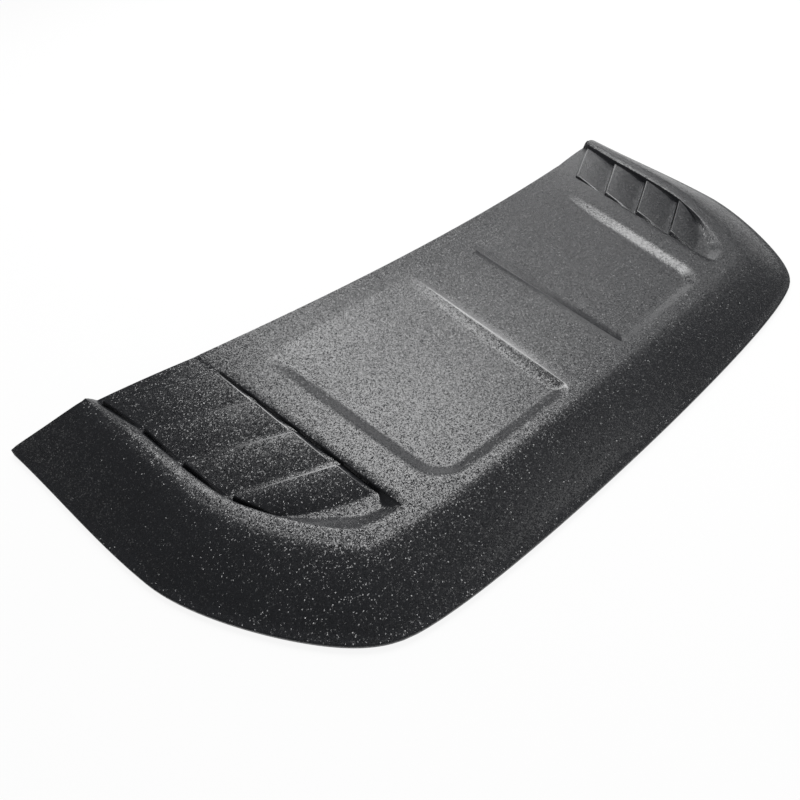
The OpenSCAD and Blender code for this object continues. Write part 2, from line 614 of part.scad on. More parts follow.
module side_seal(side) {
    color(rubber_black) {
        side_band(s_rear_end, s_joint_side, seal_inset, seal_far, seal_foot_h, seal_h, side);
        side_band(s_rear_end, s_joint_side, seal_inset + seal_foot_step,
                  seal_far - seal_foot_step, 0, seal_foot_h, side);
    }
}
module edge_seal_left() { side_seal(-1); }
module edge_seal_right() { side_seal(1); }
module edge_seal_front() {
    color(rubber_black) {
        front_band(s_joint_front, seal_inset, seal_far, seal_foot_h, seal_h);
        front_band(s_joint_front, seal_inset + seal_foot_step, seal_far - seal_foot_step,
                   0, seal_foot_h);
    }
}
module side_tape(side) {
    color(foam_grey)
        side_band(s_rear_end, s_joint_side, tape_near, tape_near + tape_w,
                  rim_z - tape_t, rim_z, side);
}
module tape_left() { side_tape(-1); }
module tape_right() { side_tape(1); }
module tape_front() {
    color(foam_grey)
        front_band(s_joint_front, tape_near, tape_near + tape_w, rim_z - tape_t, rim_z);
}

scoop_shell();
edge_seal_left();
edge_seal_front();
edge_seal_right();
tape_left();
tape_front();
tape_right();
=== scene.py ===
"""Bonnet scoop: the moulded shell, its rubber edge seals and foam tapes, and the stage."""
from types import SimpleNamespace

import bpy
import numpy as np
from bpy.props import FloatProperty, FloatVectorProperty, PointerProperty
from bpy.types import Operator, Panel, PropertyGroup
from mathutils import Matrix, Vector


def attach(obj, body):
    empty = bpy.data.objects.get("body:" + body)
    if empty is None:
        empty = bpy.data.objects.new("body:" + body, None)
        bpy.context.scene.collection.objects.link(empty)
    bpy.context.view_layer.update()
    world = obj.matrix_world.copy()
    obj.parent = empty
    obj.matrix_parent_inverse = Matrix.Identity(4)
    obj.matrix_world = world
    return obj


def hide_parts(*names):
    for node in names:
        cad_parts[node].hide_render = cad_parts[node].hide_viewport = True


bl_info = {
    "name": "Bonnet scoop",
    "version": (1, 0, 0),
    "blender": (4, 5, 0),
    "location": "3D View > Sidebar > Scoop",
    "description": "Builds a louvred bonnet scoop with its edge seals, tapes and stage",
    "category": "Object",
}

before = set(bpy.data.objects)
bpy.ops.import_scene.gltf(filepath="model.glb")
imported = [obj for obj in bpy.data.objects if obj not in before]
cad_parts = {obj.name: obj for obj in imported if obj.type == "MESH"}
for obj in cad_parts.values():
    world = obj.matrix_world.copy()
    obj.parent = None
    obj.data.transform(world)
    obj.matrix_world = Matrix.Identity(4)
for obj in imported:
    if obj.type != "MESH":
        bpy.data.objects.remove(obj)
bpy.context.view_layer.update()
MM = 0.001


def colour(code):
    """Linear RGB of an sRGB hex value such as #26272a."""
    parts = np.array([int(code[k:k + 2], 16) for k in (1, 3, 5)]) / 255
    return tuple(np.where(parts <= 0.04045, parts / 12.92, ((parts + 0.055) / 1.055) ** 2.4))


def length(name, text, value, low, high):
    """A length setting, given in millimetres and kept in metres."""
    return FloatProperty(name=name, description=text, default=value * MM, min=low * MM,
                         max=high * MM, subtype="DISTANCE", unit="LENGTH", precision=5)


def paint(name, text, code):
    """A colour setting, given as an sRGB hex value."""
    return FloatVectorProperty(name=name, description=text, default=colour(code), size=3,
                               min=0, max=1, subtype="COLOR")


class SCOOP_PG_shell(PropertyGroup):
    """Sizes of the moulded shell."""
    top_w: length("Top width", "Width across the side crests at the rear", 932, 880, 980)
    top_d: length("Top depth", "From the rear ends of the crests to the front crease",
                  365, 345, 385)
    rear_h: length("Rear height", "Height at the middle of the rear edge", 59.2, 52, 70)
    front_h: length("Front height", "Height of the front crease on the centre line",
                    39.2, 34, 46)
    flank_w: length("Flank width", "From the crest to the rim", 82, 70, 95)
    rail_h: length("Rail height", "Height of the side rails at the rear edge", 9.5, 6, 12)
    wall: length("Wall", "Thickness of the moulded wall", 3, 2.4, 3.6)
    panel_in_d: length("Panel depth, inner", "Depth of a panel beside the spine", 4.8, 4, 5.6)
    panel_out_d: length("Panel depth, outer", "Depth of a panel at its outer wall", 6.3, 5, 7)
    panel_round: length("Panel rounding", "Half length of the fillets of a panel's walls",
                        2.6, 1, 5)
    blade_proud: length("Blade raise", "Height of a louvre's raised edge above the top",
                        2.4, 1, 3)
    blade_round: length("Blade rounding", "Radius of a louvre's edges", 1, 0.4, 1.2)
    vent_round: length("Vent rounding", "Half length of the fillet round a vent", 1.4, 0.6, 2)


class SCOOP_PG_rubber(PropertyGroup):
    """Sizes of the extruded edge seal."""
    seal_h: length("Seal height", "Height of the seal under the rim", 3, 2.4, 4)
    seal_w: length("Seal width", "Width of the seal's body", 3.2, 2.6, 3.4)
    foot_h: length("Foot height", "Height of the seal's narrower foot", 1.2, 0.8, 1.6)
    foot_step: length("Foot step", "How much narrower the foot is on each side", 0.7, 0.5, 0.9)
    corner: length("Corner radius", "Radius of the seal's corners", 0.4, 0.2, 0.6)


class SCOOP_PG_finish(PropertyGroup):
    """Colours and grain of the finishes."""
    abs_black: paint("Shell", "Black of the moulded ABS", "#202124")
    rubber_black: paint("Seal", "Black of the extruded rubber", "#141414")
    foam_grey: paint("Tape", "Grey of the acrylic foam", "#55575a")
    grain_size: length("Grain size", "Width of the facets of the moulded grain", 1.0, 0.8, 3)
    grain_tilt: FloatProperty(name="Grain tilt", description="How far the grain's facets tilt",
                              default=0.6, min=0, max=1, subtype="FACTOR")
    roughness: FloatProperty(name="Roughness", description="Roughness of the grained ABS",
                             default=0.25, min=0.2, max=0.8, subtype="FACTOR")


def power(name, description, default):
    """A lamp's power in watts."""
    return FloatProperty(name=name, description=description, default=default, min=0, max=200,
                         unit="POWER")


class SCOOP_PG_stage(PropertyGroup):
    """Light and colour of the stage."""
    floor: paint("Floor", "Colour of the floor", "#f6f6f6")
    key_power: power("Softbox", "Power of the high softbox", 38)
    wall_power: power("Soft wall", "Power of the wide panel below the softbox", 21)
    rear_power: power("Rear softbox", "Power of the softbox behind", 11)
    fill_power: power("Front fill", "Power of the panel in front", 9)
    side_power: power("Side panel", "Power of the panel on the far side", 6)
    rim_power: power("Low panel", "Power of the low panel behind", 10)
    front_power: power("Front left", "Power of the panel at the front left", 4)
    world_level: FloatProperty(name="World", description="Level of the light all round",
                               default=0.1, min=0, max=1)
    paper: FloatProperty(name="Paper white", description="Share of plain white that a look at "
                         "the floor adds, so that its shadows stay faint",
                         default=0.9, min=0, max=1, subtype="FACTOR")


# Sizes of the outline and the features in millimetres, from the part's source.
# y is 0 at the rear end of a crest and negative towards the front.
OUTLINE = SimpleNamespace(
    rear_bow=52.5, crown_rear=2.1, crown_front=6.4, shoulder_rear=3.2, crown_ref=300,
    side_run=203, side_in=35.3, corner_in=131, corner_back=18.4, corner_slant=13.9,
    corner_bow=14, rear_sweep=49, rim_t=3.5, rim_cut=4, rail_rear_w=8, rail_w=15.5,
    rail_in=0.55)
VENT = SimpleNamespace(
    width=124.8, splay=0.149, in_y=72.6, out_y=11.5, in_pitch=63, out_pitch=69.3, slot=2,
    strips=(5, 7, 9, 12), bow=5, reach=(9, 5.5, 8), blade_t=2.6, floors=(3.5, 4.2, 5, 6.5),
    curve=1.5, cheek=3, cheek_in=(3, 7), wall=1.4, front_wall=15, sunk=2, corner=6, lift=3.5)
PANEL = SimpleNamespace(
    spine=52, width=170.5, splay=0.129, land=42, front_land=10.5, start=88, out_run=90,
    in_wall=11.5, out_wall=15.5, front_wall=15, out_r=35, in_r=13, foot_share=0.88)
SEAL = SimpleNamespace(inset=0.8, joint_x=302, gap=18, rear_s=0.06)

# Each lamp's place and size in metres, and the setting of its power
LAMPS = (("softbox", (0.706, 0.842, 2.356), (1.2, 0.85), "key_power"),
         ("soft wall", (1.074, 1.280, 1.992), (2.3, 0.75), "wall_power"),
         ("rear softbox", (0.130, 1.293, 2.252), (0.6, 1.1), "rear_power"),
         ("front fill", (1.065, -1.845, 1.491), (1.2, 1.2), "fill_power"),
         ("side panel", (2.122, 0.186, 1.491), (1.2, 1.2), "side_power"),
         ("low panel", (1.758, 1.758, 0.760), (2.4, 0.8), "rim_power"),
         ("front left", (-0.952, -2.040, 1.300), (1.2, 1.2), "front_power"))

# Lines of the floor's net in metres, just below the part's foot, and its cells that the
# part covers, which stay in true shade
FLOOR = SimpleNamespace(xs=(-6.0, -0.5, -0.4, 0.4, 0.5, 6.0), ys=(-6.0, -0.17, -0.03, 0.19, 6.0),
                        z=-0.0004, covered=(7, 11, 12, 13))
# The camera's axes and place, as worked out from the photo's straight edges
CAMERA = SimpleNamespace(
    sensor=36, lens=26.1, right=(0.74495, -0.66654, -0.02802), up=(0.50496, 0.53592, 0.67661),
    back=(-0.43597, -0.51819, 0.73581), place=(-0.4832, -0.35967, 0.51141))

# Width of the smooth lip along a blade's rear edge, in millimetres
LIP = 2.2
RIM_CUT = np.array([OUTLINE.rim_cut / 2, OUTLINE.rim_cut])

# Columns and rows of the surface's net that carry a feature
PIN_TOP, PIN_FOOT, POUT_FOOT, POUT_TOP, LAND, VIN_TOP, VIN_FOOT = 2, 4, 10, 12, 13, 14, 15
BLADE_IN, BLADE_OUT, VOUT_FOOT, VOUT_TOP, CREST = 16, 20, 21, 22, 24
LOUVRE, STEP, LAST, LAST_FOOT, FLOOR_END, WALL_TOP, FRONT = 3, 5, 18, 21, 23, 25, 28


def mix(a, b, t):
    """Straight line from a to b."""
    return a + (b - a) * t


def clamp01(t):
    return np.clip(t, 0, 1)


def unit(v):
    return v / np.linalg.norm(v, axis=-1, keepdims=True)


def between(rows, at):
    """Value at a fractional place in a stack of arrays, on straight lines between them."""
    rows = np.stack(np.broadcast_arrays(*rows))
    at = np.broadcast_to(at, rows.shape[1:])
    low = np.clip(np.floor(at).astype(int), 0, len(rows) - 2)
    pick = np.take_along_axis(rows, low[None], 0)[0]
    after = np.take_along_axis(rows, low[None] + 1, 0)[0]
    return mix(pick, after, at - low)


def bend(a, b, c, t):
    """Parabola from a to c that starts and ends on its way to and from b."""
    t = np.asarray(t, float)[..., None]
    return mix(mix(a, b, t), mix(b, c, t), t)


def edge_fillet(d, w):
    """Part of the slope of a bend that a parabola of half length w adds at a distance d."""
    return np.maximum(0, w - np.abs(d)) ** 2 / (4 * w)


def round_ramp(a, w):
    """0 before 0, a up to 1 and 1 after it, with both bends rounded over a half length w.

    Each bend is the parabola that a moving average of width 2w makes of it.
    """
    first = np.maximum(0, w - np.abs(a)) ** 2 / (4 * w)
    second = np.maximum(0, w - np.abs(a - 1)) ** 2 / (4 * w)
    return clamp01(a) + first - second


class ScoopForm:
    """Half of the scoop's surface, x >= 0, over a net of columns u and rows v.

    Columns run from the centre line out to the crest, rows from the rear edge to the
    front crease, and both may be fractional. All lengths are in millimetres.
    """

    def __init__(self, g):
        self.g, o = g, OUTLINE
        a = np.array([g.top_w / 2, 0])
        b = np.array([g.top_w / 2 - o.side_in, -o.side_run])
        c = np.array([g.top_w / 2 - o.corner_in, o.corner_back - g.top_d])
        d = np.array([0, -g.top_d])
        slant, bow = np.radians(o.corner_slant), np.radians(o.corner_bow)
        at_b = -np.array([np.sin(slant), np.cos(slant)])
        at_c = -np.array([np.cos(bow), np.sin(bow)])
        self.curves = np.array([[a, a + 0.35 * (b - a), b - 60 * at_b, b],
                                [b, b + 52 * at_b, c - 21 * at_c, c],
                                [c, c + 62 * at_c, d + [100, 0], d]])
        places = np.linspace(0, 2, 2001)
        self.out_table = (-self.vent_out(places)[:, 1], places)
        places = np.linspace(1.9, 3, 1601)
        self.front_table = (-self.crest(places)[:, 0], places)
        places = np.linspace(2, 2.8, 801)
        edge = self.vent_out(places)
        self.s_corner_in = np.interp(
            -VENT.corner, self.vent_in_x(edge[:, 1]) - edge[:, 0], places)
        self.corner_y = self.vent_out(self.s_corner_in)[1]
        self.in_y = np.array([self.row_in_y(j) for j in range(WALL_TOP + 1)])
        self.out_s = np.array([self.row_out_s(j) for j in range(WALL_TOP + 1)])
        self.s_corner, self.s_front_vent = 1.95, 2.05
        rows = np.arange(WALL_TOP + 1)
        self.crest_s = np.append(mix(self.out_s, self.s_corner * rows / FRONT, 0.6),
                                 self.s_corner)
        self.crest_rows = np.append(rows, FRONT)
        self.front_y0 = PANEL.front_land - g.top_d
        self.shift = self.under_nodes()

    # Lines in plan

    def crest(self, s):
        """Crest line: cubic curves for the side (s 0 to 1), corner (to 2) and front (to 3)."""
        s = np.asarray(s, float)
        part = np.clip(np.floor(s).astype(int), 0, 2)
        t = (s - part)[..., None]
        p = self.curves[part]
        return ((1 - t) ** 3 * p[..., 0, :] + 3 * t * (1 - t) ** 2 * p[..., 1, :]
                + 3 * t * t * (1 - t) * p[..., 2, :] + t ** 3 * p[..., 3, :])

    def crest_dir(self, s):
        """Direction of the crest line: the derivative of its cubic, of length one."""
        s = np.asarray(s, float)
        part = np.clip(np.floor(s).astype(int), 0, 2)
        t = (s - part)[..., None]
        step = np.diff(self.curves, axis=1)[part]
        return unit((1 - t) ** 2 * step[..., 0, :] + 2 * t * (1 - t) * step[..., 1, :]
                    + t * t * step[..., 2, :])

    def crest_out(self, s):
        """Direction square to the crest line, out of the part."""
        d = self.crest_dir(s)
        return np.stack([-d[..., 1], d[..., 0]], -1)

    def flank_xy(self, s, q):
        """Plan of the flank: out from the crest by q widths, swept back at its rear end."""
        s, q = np.broadcast_arrays(np.asarray(s, float), np.asarray(q, float))
        back = OUTLINE.rear_sweep * clamp01(1 - s) * np.maximum(q, 0) ** 1.25
        return (self.crest(s) + self.crest_out(s) * (self.g.flank_w * q)[..., None]
                - self.crest_dir(s) * back[..., None])

    def rear_y(self, x):
        """Rear edge: a bow of second and fourth order."""
        q = (2 * x / self.g.top_w) ** 2
        return OUTLINE.rear_bow * (0.67 * q + 0.33 * q * q - 1)

    def vent_in_x(self, y):
        return self.g.top_w / 2 - VENT.width + VENT.splay * y

    def panel_out_x(self, y):
        return self.g.top_w / 2 - PANEL.width + PANEL.splay * y

    def vent_out(self, s):
        """Edge of the vent on the rail's side: the crest set in by the rail's width."""
        width = mix(OUTLINE.rail_rear_w, OUTLINE.rail_w, clamp01(np.asarray(s) / 0.35))
        return self.crest(s) - self.crest_out(s) * width[..., None]

    def out_at_y(self, y):
        return float(np.interp(-y, *self.out_table))

    def crest_at_x(self, x):
        return np.interp(-np.asarray(x, float), *self.front_table)

    # The net's rows and columns

    def row_in_y(self, j):
        """Distance of a row along the vent's inner edge."""
        v = VENT
        if j < LOUVRE:
            return mix(self.rear_y(self.vent_in_x(-40)), v.slot - v.in_y, j / 2)
        if j <= LAST:
            k, r = divmod(j - LOUVRE, STEP)
            y, blade = -v.in_y - v.in_pitch * k, v.in_pitch - v.slot - v.strips[min(k, 2)]
            return y - blade * r / 3 if r < 4 else y - v.in_pitch + v.slot
        end = self.corner_y + 0.3 * v.corner
        return np.interp(j, [LAST, LAST_FOOT, FLOOR_END, 24, WALL_TOP],
                         [-v.in_y - 3 * v.in_pitch, end + 1.1 * v.front_wall + v.strips[3],
                          end + 1.1 * v.front_wall, end + 0.7 * v.corner, end])

    def row_out_s(self, j):
        """Place of a row along the vent's outer edge."""
        v = VENT
        if j < LOUVRE:
            return self.out_at_y(v.lift + v.slot - v.out_y) * j / 2
        if j <= LAST:
            k, r = divmod(j - LOUVRE, STEP)
            y = v.lift - v.out_y - v.out_pitch * k
            blade = v.out_pitch - v.slot - v.strips[min(k, 2)]
            return self.out_at_y(y - blade * r / 3 if r < 4 else y - v.out_pitch + v.slot)
        last = self.out_at_y(v.lift - v.out_y - 3 * v.out_pitch)
        return np.interp(j, [LAST, LAST_FOOT, FLOOR_END, WALL_TOP], [last, 1.36, 1.7, 1.9])

    def out_s_at(self, v):
        return np.interp(v, np.arange(WALL_TOP + 1), self.out_s)

    def crest_s_at(self, v):
        return np.interp(v, self.crest_rows, self.crest_s)

    def front_s_at(self, u):
        """Place of a column on the front of the crest line."""
        u = np.asarray(u, float)
        flat = self.crest_at_x(self.flat_x(np.minimum(u, VIN_TOP), -self.g.top_d + 0 * u))
        s_in = self.crest_at_x(self.vent_in_x(-self.g.top_d))
        side = np.interp(u, [VIN_TOP, VOUT_TOP, CREST],
                         [s_in, self.s_front_vent, self.s_corner])
        return np.where(u <= VIN_TOP, flat, side)

    def sink_in(self, y):
        """Share of a panel's depth beside the spine: a cubic that levels out."""
        foot = self.g.top_d - PANEL.front_land - PANEL.front_wall
        return 1 - (1 - clamp01((-PANEL.start - y) / (foot - PANEL.start))) ** 3

    def sink_out(self, y):
        """Share of a panel's depth at its outer wall: a parabola that levels out."""
        return 1 - (1 - clamp01((-PANEL.start - y) / PANEL.out_run)) ** 2

    def flat_x(self, u, y):
        """Across the spine, a panel and the land: straight lines between the columns."""
        a, b = PANEL.spine, self.panel_out_x(y)
        foot_a = a + PANEL.in_wall * mix(0.65, 1, self.sink_in(y))
        foot_b = b - PANEL.out_wall * mix(0.75, 1, self.sink_out(y))
        floor = [mix(foot_a, foot_b, t) for t in (0.06, 0.3, 0.58, 0.82, 0.93)]
        return between([0 * y, a / 2 + 0 * y, a + 0 * y, (a + foot_a) / 2, foot_a, *floor,
                        foot_b, (foot_b + b) / 2, b, (b + self.vent_in_x(y)) / 2,
                        self.vent_in_x(y)], u)

    def flat_y(self, u, v):
        """Along the flat part: even rows at the middle, the louvres' rows at the vent."""
        early = clamp01((u - PIN_FOOT) / (LAND - PIN_FOOT))
        late = clamp01((u - POUT_TOP) / (VIN_TOP - POUT_TOP))
        share = mix(early, late, clamp01((v - LAST) / (FLOOR_END - LAST)))
        front = self.crest(self.crest_at_x(self.flat_x(u, self.front_y0 + 0 * u)))[..., 1]
        bow = front + PANEL.front_land - self.front_y0
        middle = np.interp(v, [0, FLOOR_END, WALL_TOP],
                           [-OUTLINE.rear_bow, self.front_y0 + PANEL.front_wall, self.front_y0])
        return mix(middle + bow * v / WALL_TOP,
                   np.interp(v, np.arange(WALL_TOP + 1), self.in_y), share)

    def rounded(self, p, c, r, side):
        """Turns the net's square corner into round rings about the centre c."""
        a = side * (p[..., 0] - c[0]) / r
        b = (c[1] - p[..., 1]) / r
        big = np.maximum(np.maximum(a, b), 1e-9)
        turn = np.pi / 4 * np.minimum(a, b) / big
        near, far = np.cos(turn), np.sin(turn)
        ring = np.where((a >= b)[..., None], np.stack([near, far], -1),
                        np.stack([far, near], -1))
        square = np.stack([a, b], -1)
        fade = np.maximum(0, 1 - (big - 1) / 0.5)[..., None]
        q = np.where((big <= 1)[..., None], big[..., None] * ring,
                     square + (ring - square / big[..., None]) * fade)
        new = np.stack([c[0] + side * r * q[..., 0], c[1] - r * q[..., 1]], -1)
        return np.where(((a > 0) & (b > 0))[..., None], new, p)

    def flat_xy(self, u, v):
        """Plan of the flat part of the top, with its panels' corners rounded."""
        y = self.flat_y(u, v)
        x = self.flat_x(u, y)
        rear_x = self.flat_x(u, -OUTLINE.rear_bow + 0 * y)
        rear = clamp01(1 - v)
        x, y = mix(x, rear_x, rear), mix(y, self.rear_y(rear_x), rear)
        edge = self.panel_out_x(self.front_y0)
        edge_y = self.crest(self.crest_at_x(edge))[1] + PANEL.front_land
        p = self.rounded(np.stack([x, y], -1), (edge - PANEL.out_r, edge_y + PANEL.out_r),
                         PANEL.out_r, 1)
        return self.rounded(p, (PANEL.spine + PANEL.in_r, self.front_y0 + PANEL.in_r),
                            PANEL.in_r, -1)

    def corner_curve(self, t):
        """Inner front corner of the vent: a parabola between its two straight edges."""
        y = self.corner_y
        p0 = np.array([self.vent_in_x(y + VENT.corner), y + VENT.corner])
        p1 = np.array([self.vent_in_x(y), y])
        p2 = self.vent_out(self.s_corner_in)
        t = np.asarray(t, float)[..., None]
        return (1 - t) ** 2 * p0 + 2 * t * (1 - t) * p1 + t * t * p2

    def vent_inner(self, v):
        """Inner edge of the vent, straight and then into its corner."""
        y = np.interp(v, np.arange(WALL_TOP + 1), self.in_y)
        line = np.stack([self.vent_in_x(y), y], -1)
        return np.where((v > 24)[..., None], self.corner_curve(clamp01(v - 24) / 2), line)

    def vent_front(self, u):
        """Front edge of the vent, from its inner corner to its outer edge."""
        t = clamp01((u - VIN_FOOT) / (VOUT_TOP - VIN_FOOT))
        edge = bend(self.vent_out(self.s_corner_in), self.vent_out(2.0),
                    self.vent_out(self.out_s[WALL_TOP]), t)
        corner = self.corner_curve(0.5 + clamp01(u - VIN_TOP) / 2)
        return np.where((u < VIN_FOOT)[..., None], corner, edge)

    def set_in(self, s, w):
        return self.vent_out(s) - self.crest_out(s) * w

    def floor_end(self, u):
        """Foot of the vent's sloped front wall."""
        t, w = clamp01((u - VIN_FOOT) / (VOUT_FOOT - VIN_FOOT)), VENT.front_wall
        start = self.vent_out(self.s_corner_in - 0.015) + w * unit(np.array([VENT.splay, 1]))
        return bend(start, self.set_in(2.0, w), self.set_in(self.out_s[FLOOR_END], w), t)

    def reach(self, v):
        """Distance from the vent's outer edge to the outer end of a blade."""
        return np.interp(v, [0, LAST - STEP, LAST, LAST_FOOT], [*VENT.reach[:2], *VENT.reach[1:]])

    def cheek_in(self, v):
        """Width of the cheek at the inner end of a blade."""
        return np.interp(v, [LOUVRE, LAST], VENT.cheek_in)

    def vent_rows(self, u, v):
        """Plan of the louvres: straight rows from edge to edge, the last one bowed."""
        a, b = self.vent_inner(v), self.vent_out(self.out_s_at(v))
        span = np.linalg.norm(b - a, axis=-1)
        e = unit(b - a)
        start, stop = VENT.wall + self.cheek_in(v), span - self.reach(v)
        along = between([0 * span, VENT.wall + 0 * span]
                        + [mix(start, stop, k / 4) for k in range(5)]
                        + [stop + VENT.cheek, span], u - VIN_TOP)
        t = clamp01((u - BLADE_IN) / (BLADE_OUT - BLADE_IN))
        bow = 4 * t * (1 - t) * VENT.bow * clamp01((v - LAST) / 3)
        return a + e * along[..., None] + bow[..., None] * np.stack([e[..., 1], -e[..., 0]], -1)

    def vent_xy(self, u, v):
        """Plan of the vent: its rows, and then the end of its floor and its front wall."""
        inside = np.clip(u, VIN_FOOT, VOUT_FOOT)
        last = self.vent_rows(inside, np.full_like(v, LAST_FOOT))
        end, front = self.floor_end(inside), self.vent_front(inside)
        share = (v - LAST_FOOT)[..., None] / 2
        # the floor's outer side curves on along the edge
        middle = LAST_FOOT + 1.0
        width = mix(VENT.reach[2] - VENT.cheek, VENT.front_wall, 0.4)
        ends = self.vent_rows(np.array(VOUT_FOOT * 1.0), np.array(LAST_FOOT * 1.0))
        ends = ends + self.floor_end(np.array(VOUT_FOOT * 1.0))
        bulge = self.set_in(self.out_s_at(middle), width) - ends / 2
        near = clamp01(inside - BLADE_OUT)[..., None] * 4 * share * (1 - share)
        tail = np.where((v <= FLOOR_END)[..., None],
                        mix(last, end, clamp01(share)) + bulge * near,
                        mix(end, front, clamp01(share - 1)))
        tail = np.where((u < VIN_FOOT)[..., None],
                        mix(self.vent_inner(v), tail, (u - VIN_TOP)[..., None]), tail)
        tail = np.where((u > VOUT_FOOT)[..., None],
                        mix(tail, self.vent_out(self.out_s_at(v)), (u - VOUT_FOOT)[..., None]),
                        tail)
        tail = np.where((v >= WALL_TOP)[..., None], self.vent_front(u), tail)
        return np.where((v <= LAST_FOOT)[..., None], self.vent_rows(u, v), tail)

    def plan(self, u, v):
        """Plan of the whole top, up to the crest line."""
        low = np.minimum(v, WALL_TOP)
        flat = self.flat_xy(np.minimum(u, VIN_TOP), low)
        near = clamp01(u - LAND)[..., None] * clamp01(low - 24)[..., None]
        flat = mix(flat, flat + self.vent_inner(low)
                   - self.flat_xy(np.full_like(u, VIN_TOP), low), near)
        vent = self.vent_xy(np.clip(u, VIN_TOP, VOUT_TOP), low)
        rail = clamp01((u - VOUT_TOP) / 2)[..., None]
        side = mix(self.vent_out(self.out_s_at(low)), self.crest(self.crest_s_at(low)), rail)
        inner = np.where((u <= VIN_TOP)[..., None], flat,
                         np.where((u <= VOUT_TOP)[..., None], vent, side))
        ahead = clamp01((v - WALL_TOP) / (FRONT - WALL_TOP))[..., None]
        capped = np.minimum(u, VOUT_TOP)
        start = np.where((u <= VOUT_TOP)[..., None], inner,
                         self.vent_out(np.full_like(u, self.out_s[WALL_TOP])))
        front = mix(start, self.crest(self.front_s_at(capped)), ahead)
        corner = mix(front, self.crest(self.crest_s_at(v)), rail)
        chord = mix(self.crest(self.front_s_at(capped)),
                    self.crest(np.full_like(u, self.s_corner)), rail)
        corner = corner + (self.crest(self.front_s_at(u)) - chord) * ahead ** 2
        return np.where((v <= WALL_TOP)[..., None], inner,
                        np.where((u <= VOUT_TOP)[..., None], front, corner))

    # Heights

    def top_z(self, x, y):
        """Smooth top: straight from rear to front, with a crown of second and fourth order."""
        o, g = OUTLINE, self.g
        v = (-o.rear_bow - y) / (g.top_d - o.rear_bow)
        q = (x / o.crown_ref) ** 2
        return (mix(g.rear_h, g.front_h, v) - mix(o.crown_rear, o.crown_front, v) * q
                - o.shoulder_rear * (1 - v) * q * q)

    def rail_z(self, s):
        """Rail height along the crest: a squared cosine that fades out at the corner."""
        return self.g.rail_h * np.cos(np.pi / 2 * clamp01(s / 1.8)) ** 2

    def floor_depth(self, j):
        d, at = VENT.floors, LOUVRE + np.array([0, 3, 5, 8, 10, 13, 15])
        return np.interp(j, [*at, LAST_FOOT, FLOOR_END, WALL_TOP],
                         [d[0] - 1, d[0], d[0], d[1], d[1], d[2], d[2], d[3], d[3], 0])

    def side_floor(self, v):
        """Height of the vent's floor beside the blades."""
        start = VENT.floors[0] - 1
        return -np.where(v < LOUVRE, mix(VENT.sunk, start, clamp01(v - 2)), self.floor_depth(v))

    def sunk_inner(self, v, share):
        """The same at the corner behind the first blade, which fades in from the land."""
        sunk = mix(VENT.sunk * share, VENT.floors[0] - 1, clamp01(v - 2))
        return np.where(v < LOUVRE, -sunk, self.side_floor(v))

    def blade_height(self, v):
        """Height along a blade's columns: raised edge, curve down to its foot, floor, slot."""
        g, d = self.g, VENT.floors
        k = np.clip((v - LOUVRE) // STEP, 0, 3).astype(int)
        row = v - LOUVRE - STEP * k
        foot = -np.array(d)[k]
        height = np.where(row < 3, mix(g.blade_proud, foot, clamp01(row / 3) ** VENT.curve),
                          mix(foot, g.blade_proud, clamp01(row - 4)))
        height = np.where(v < LOUVRE, mix(-VENT.sunk, g.blade_proud, clamp01(v - 2)), height)
        return np.where(v > LAST_FOOT, -self.floor_depth(v), height)

    def under_nodes(self):
        """Sideways shift of the lower face, and its depth below, at whole numbers."""
        shift = np.zeros((CREST + 1, FRONT + 1, 3))
        shift[..., 2] = self.g.wall
        for i in range(CREST + 1):
            for j in range(WALL_TOP + 1):
                vent = LOUVRE <= j and VIN_TOP <= i <= VOUT_TOP
                panel = PIN_TOP <= i <= POUT_TOP
                ahead = np.array([0, -0.5 if j >= FLOOR_END else 0.0])
                if vent:
                    out, blade = self.crest_out(self.out_s[j]), j <= LAST
                    side = {VIN_TOP: np.array([-1.0, 0]), VOUT_TOP: out,
                            BLADE_IN: np.array([0.6 * blade, 0]),
                            BLADE_OUT: -0.3 * blade * out}.get(i, 0)
                    shift[i, j, :2] = 0.8 * self.g.wall * side * (j < FLOOR_END)
                elif panel:
                    side = np.array([-1.0 if i <= PIN_FOOT else 1.0 if i >= POUT_FOOT else 0, 0])
                    shift[i, j, :2] = 0.27 * self.g.wall * (side + ahead)
                if (BLADE_IN <= i <= BLADE_OUT and LOUVRE <= j < LAST_FOOT
                        and (j - LOUVRE) % STEP < 3):
                    shift[i, j, 2] = VENT.blade_t
        return shift

    def at_nodes(self, nodes, u, v):
        """Straight lines both ways between the values at whole columns and rows."""
        i = np.clip(np.floor(u).astype(int), 0, CREST - 1)
        j = np.clip(np.floor(v).astype(int), 0, FRONT - 1)
        extra = (1,) * (nodes.ndim - 2)
        s, t = (u - i).reshape(u.shape + extra), (v - j).reshape(v.shape + extra)
        return mix(mix(nodes[i, j], nodes[i + 1, j], s),
                   mix(nodes[i, j + 1], nodes[i + 1, j + 1], s), t)

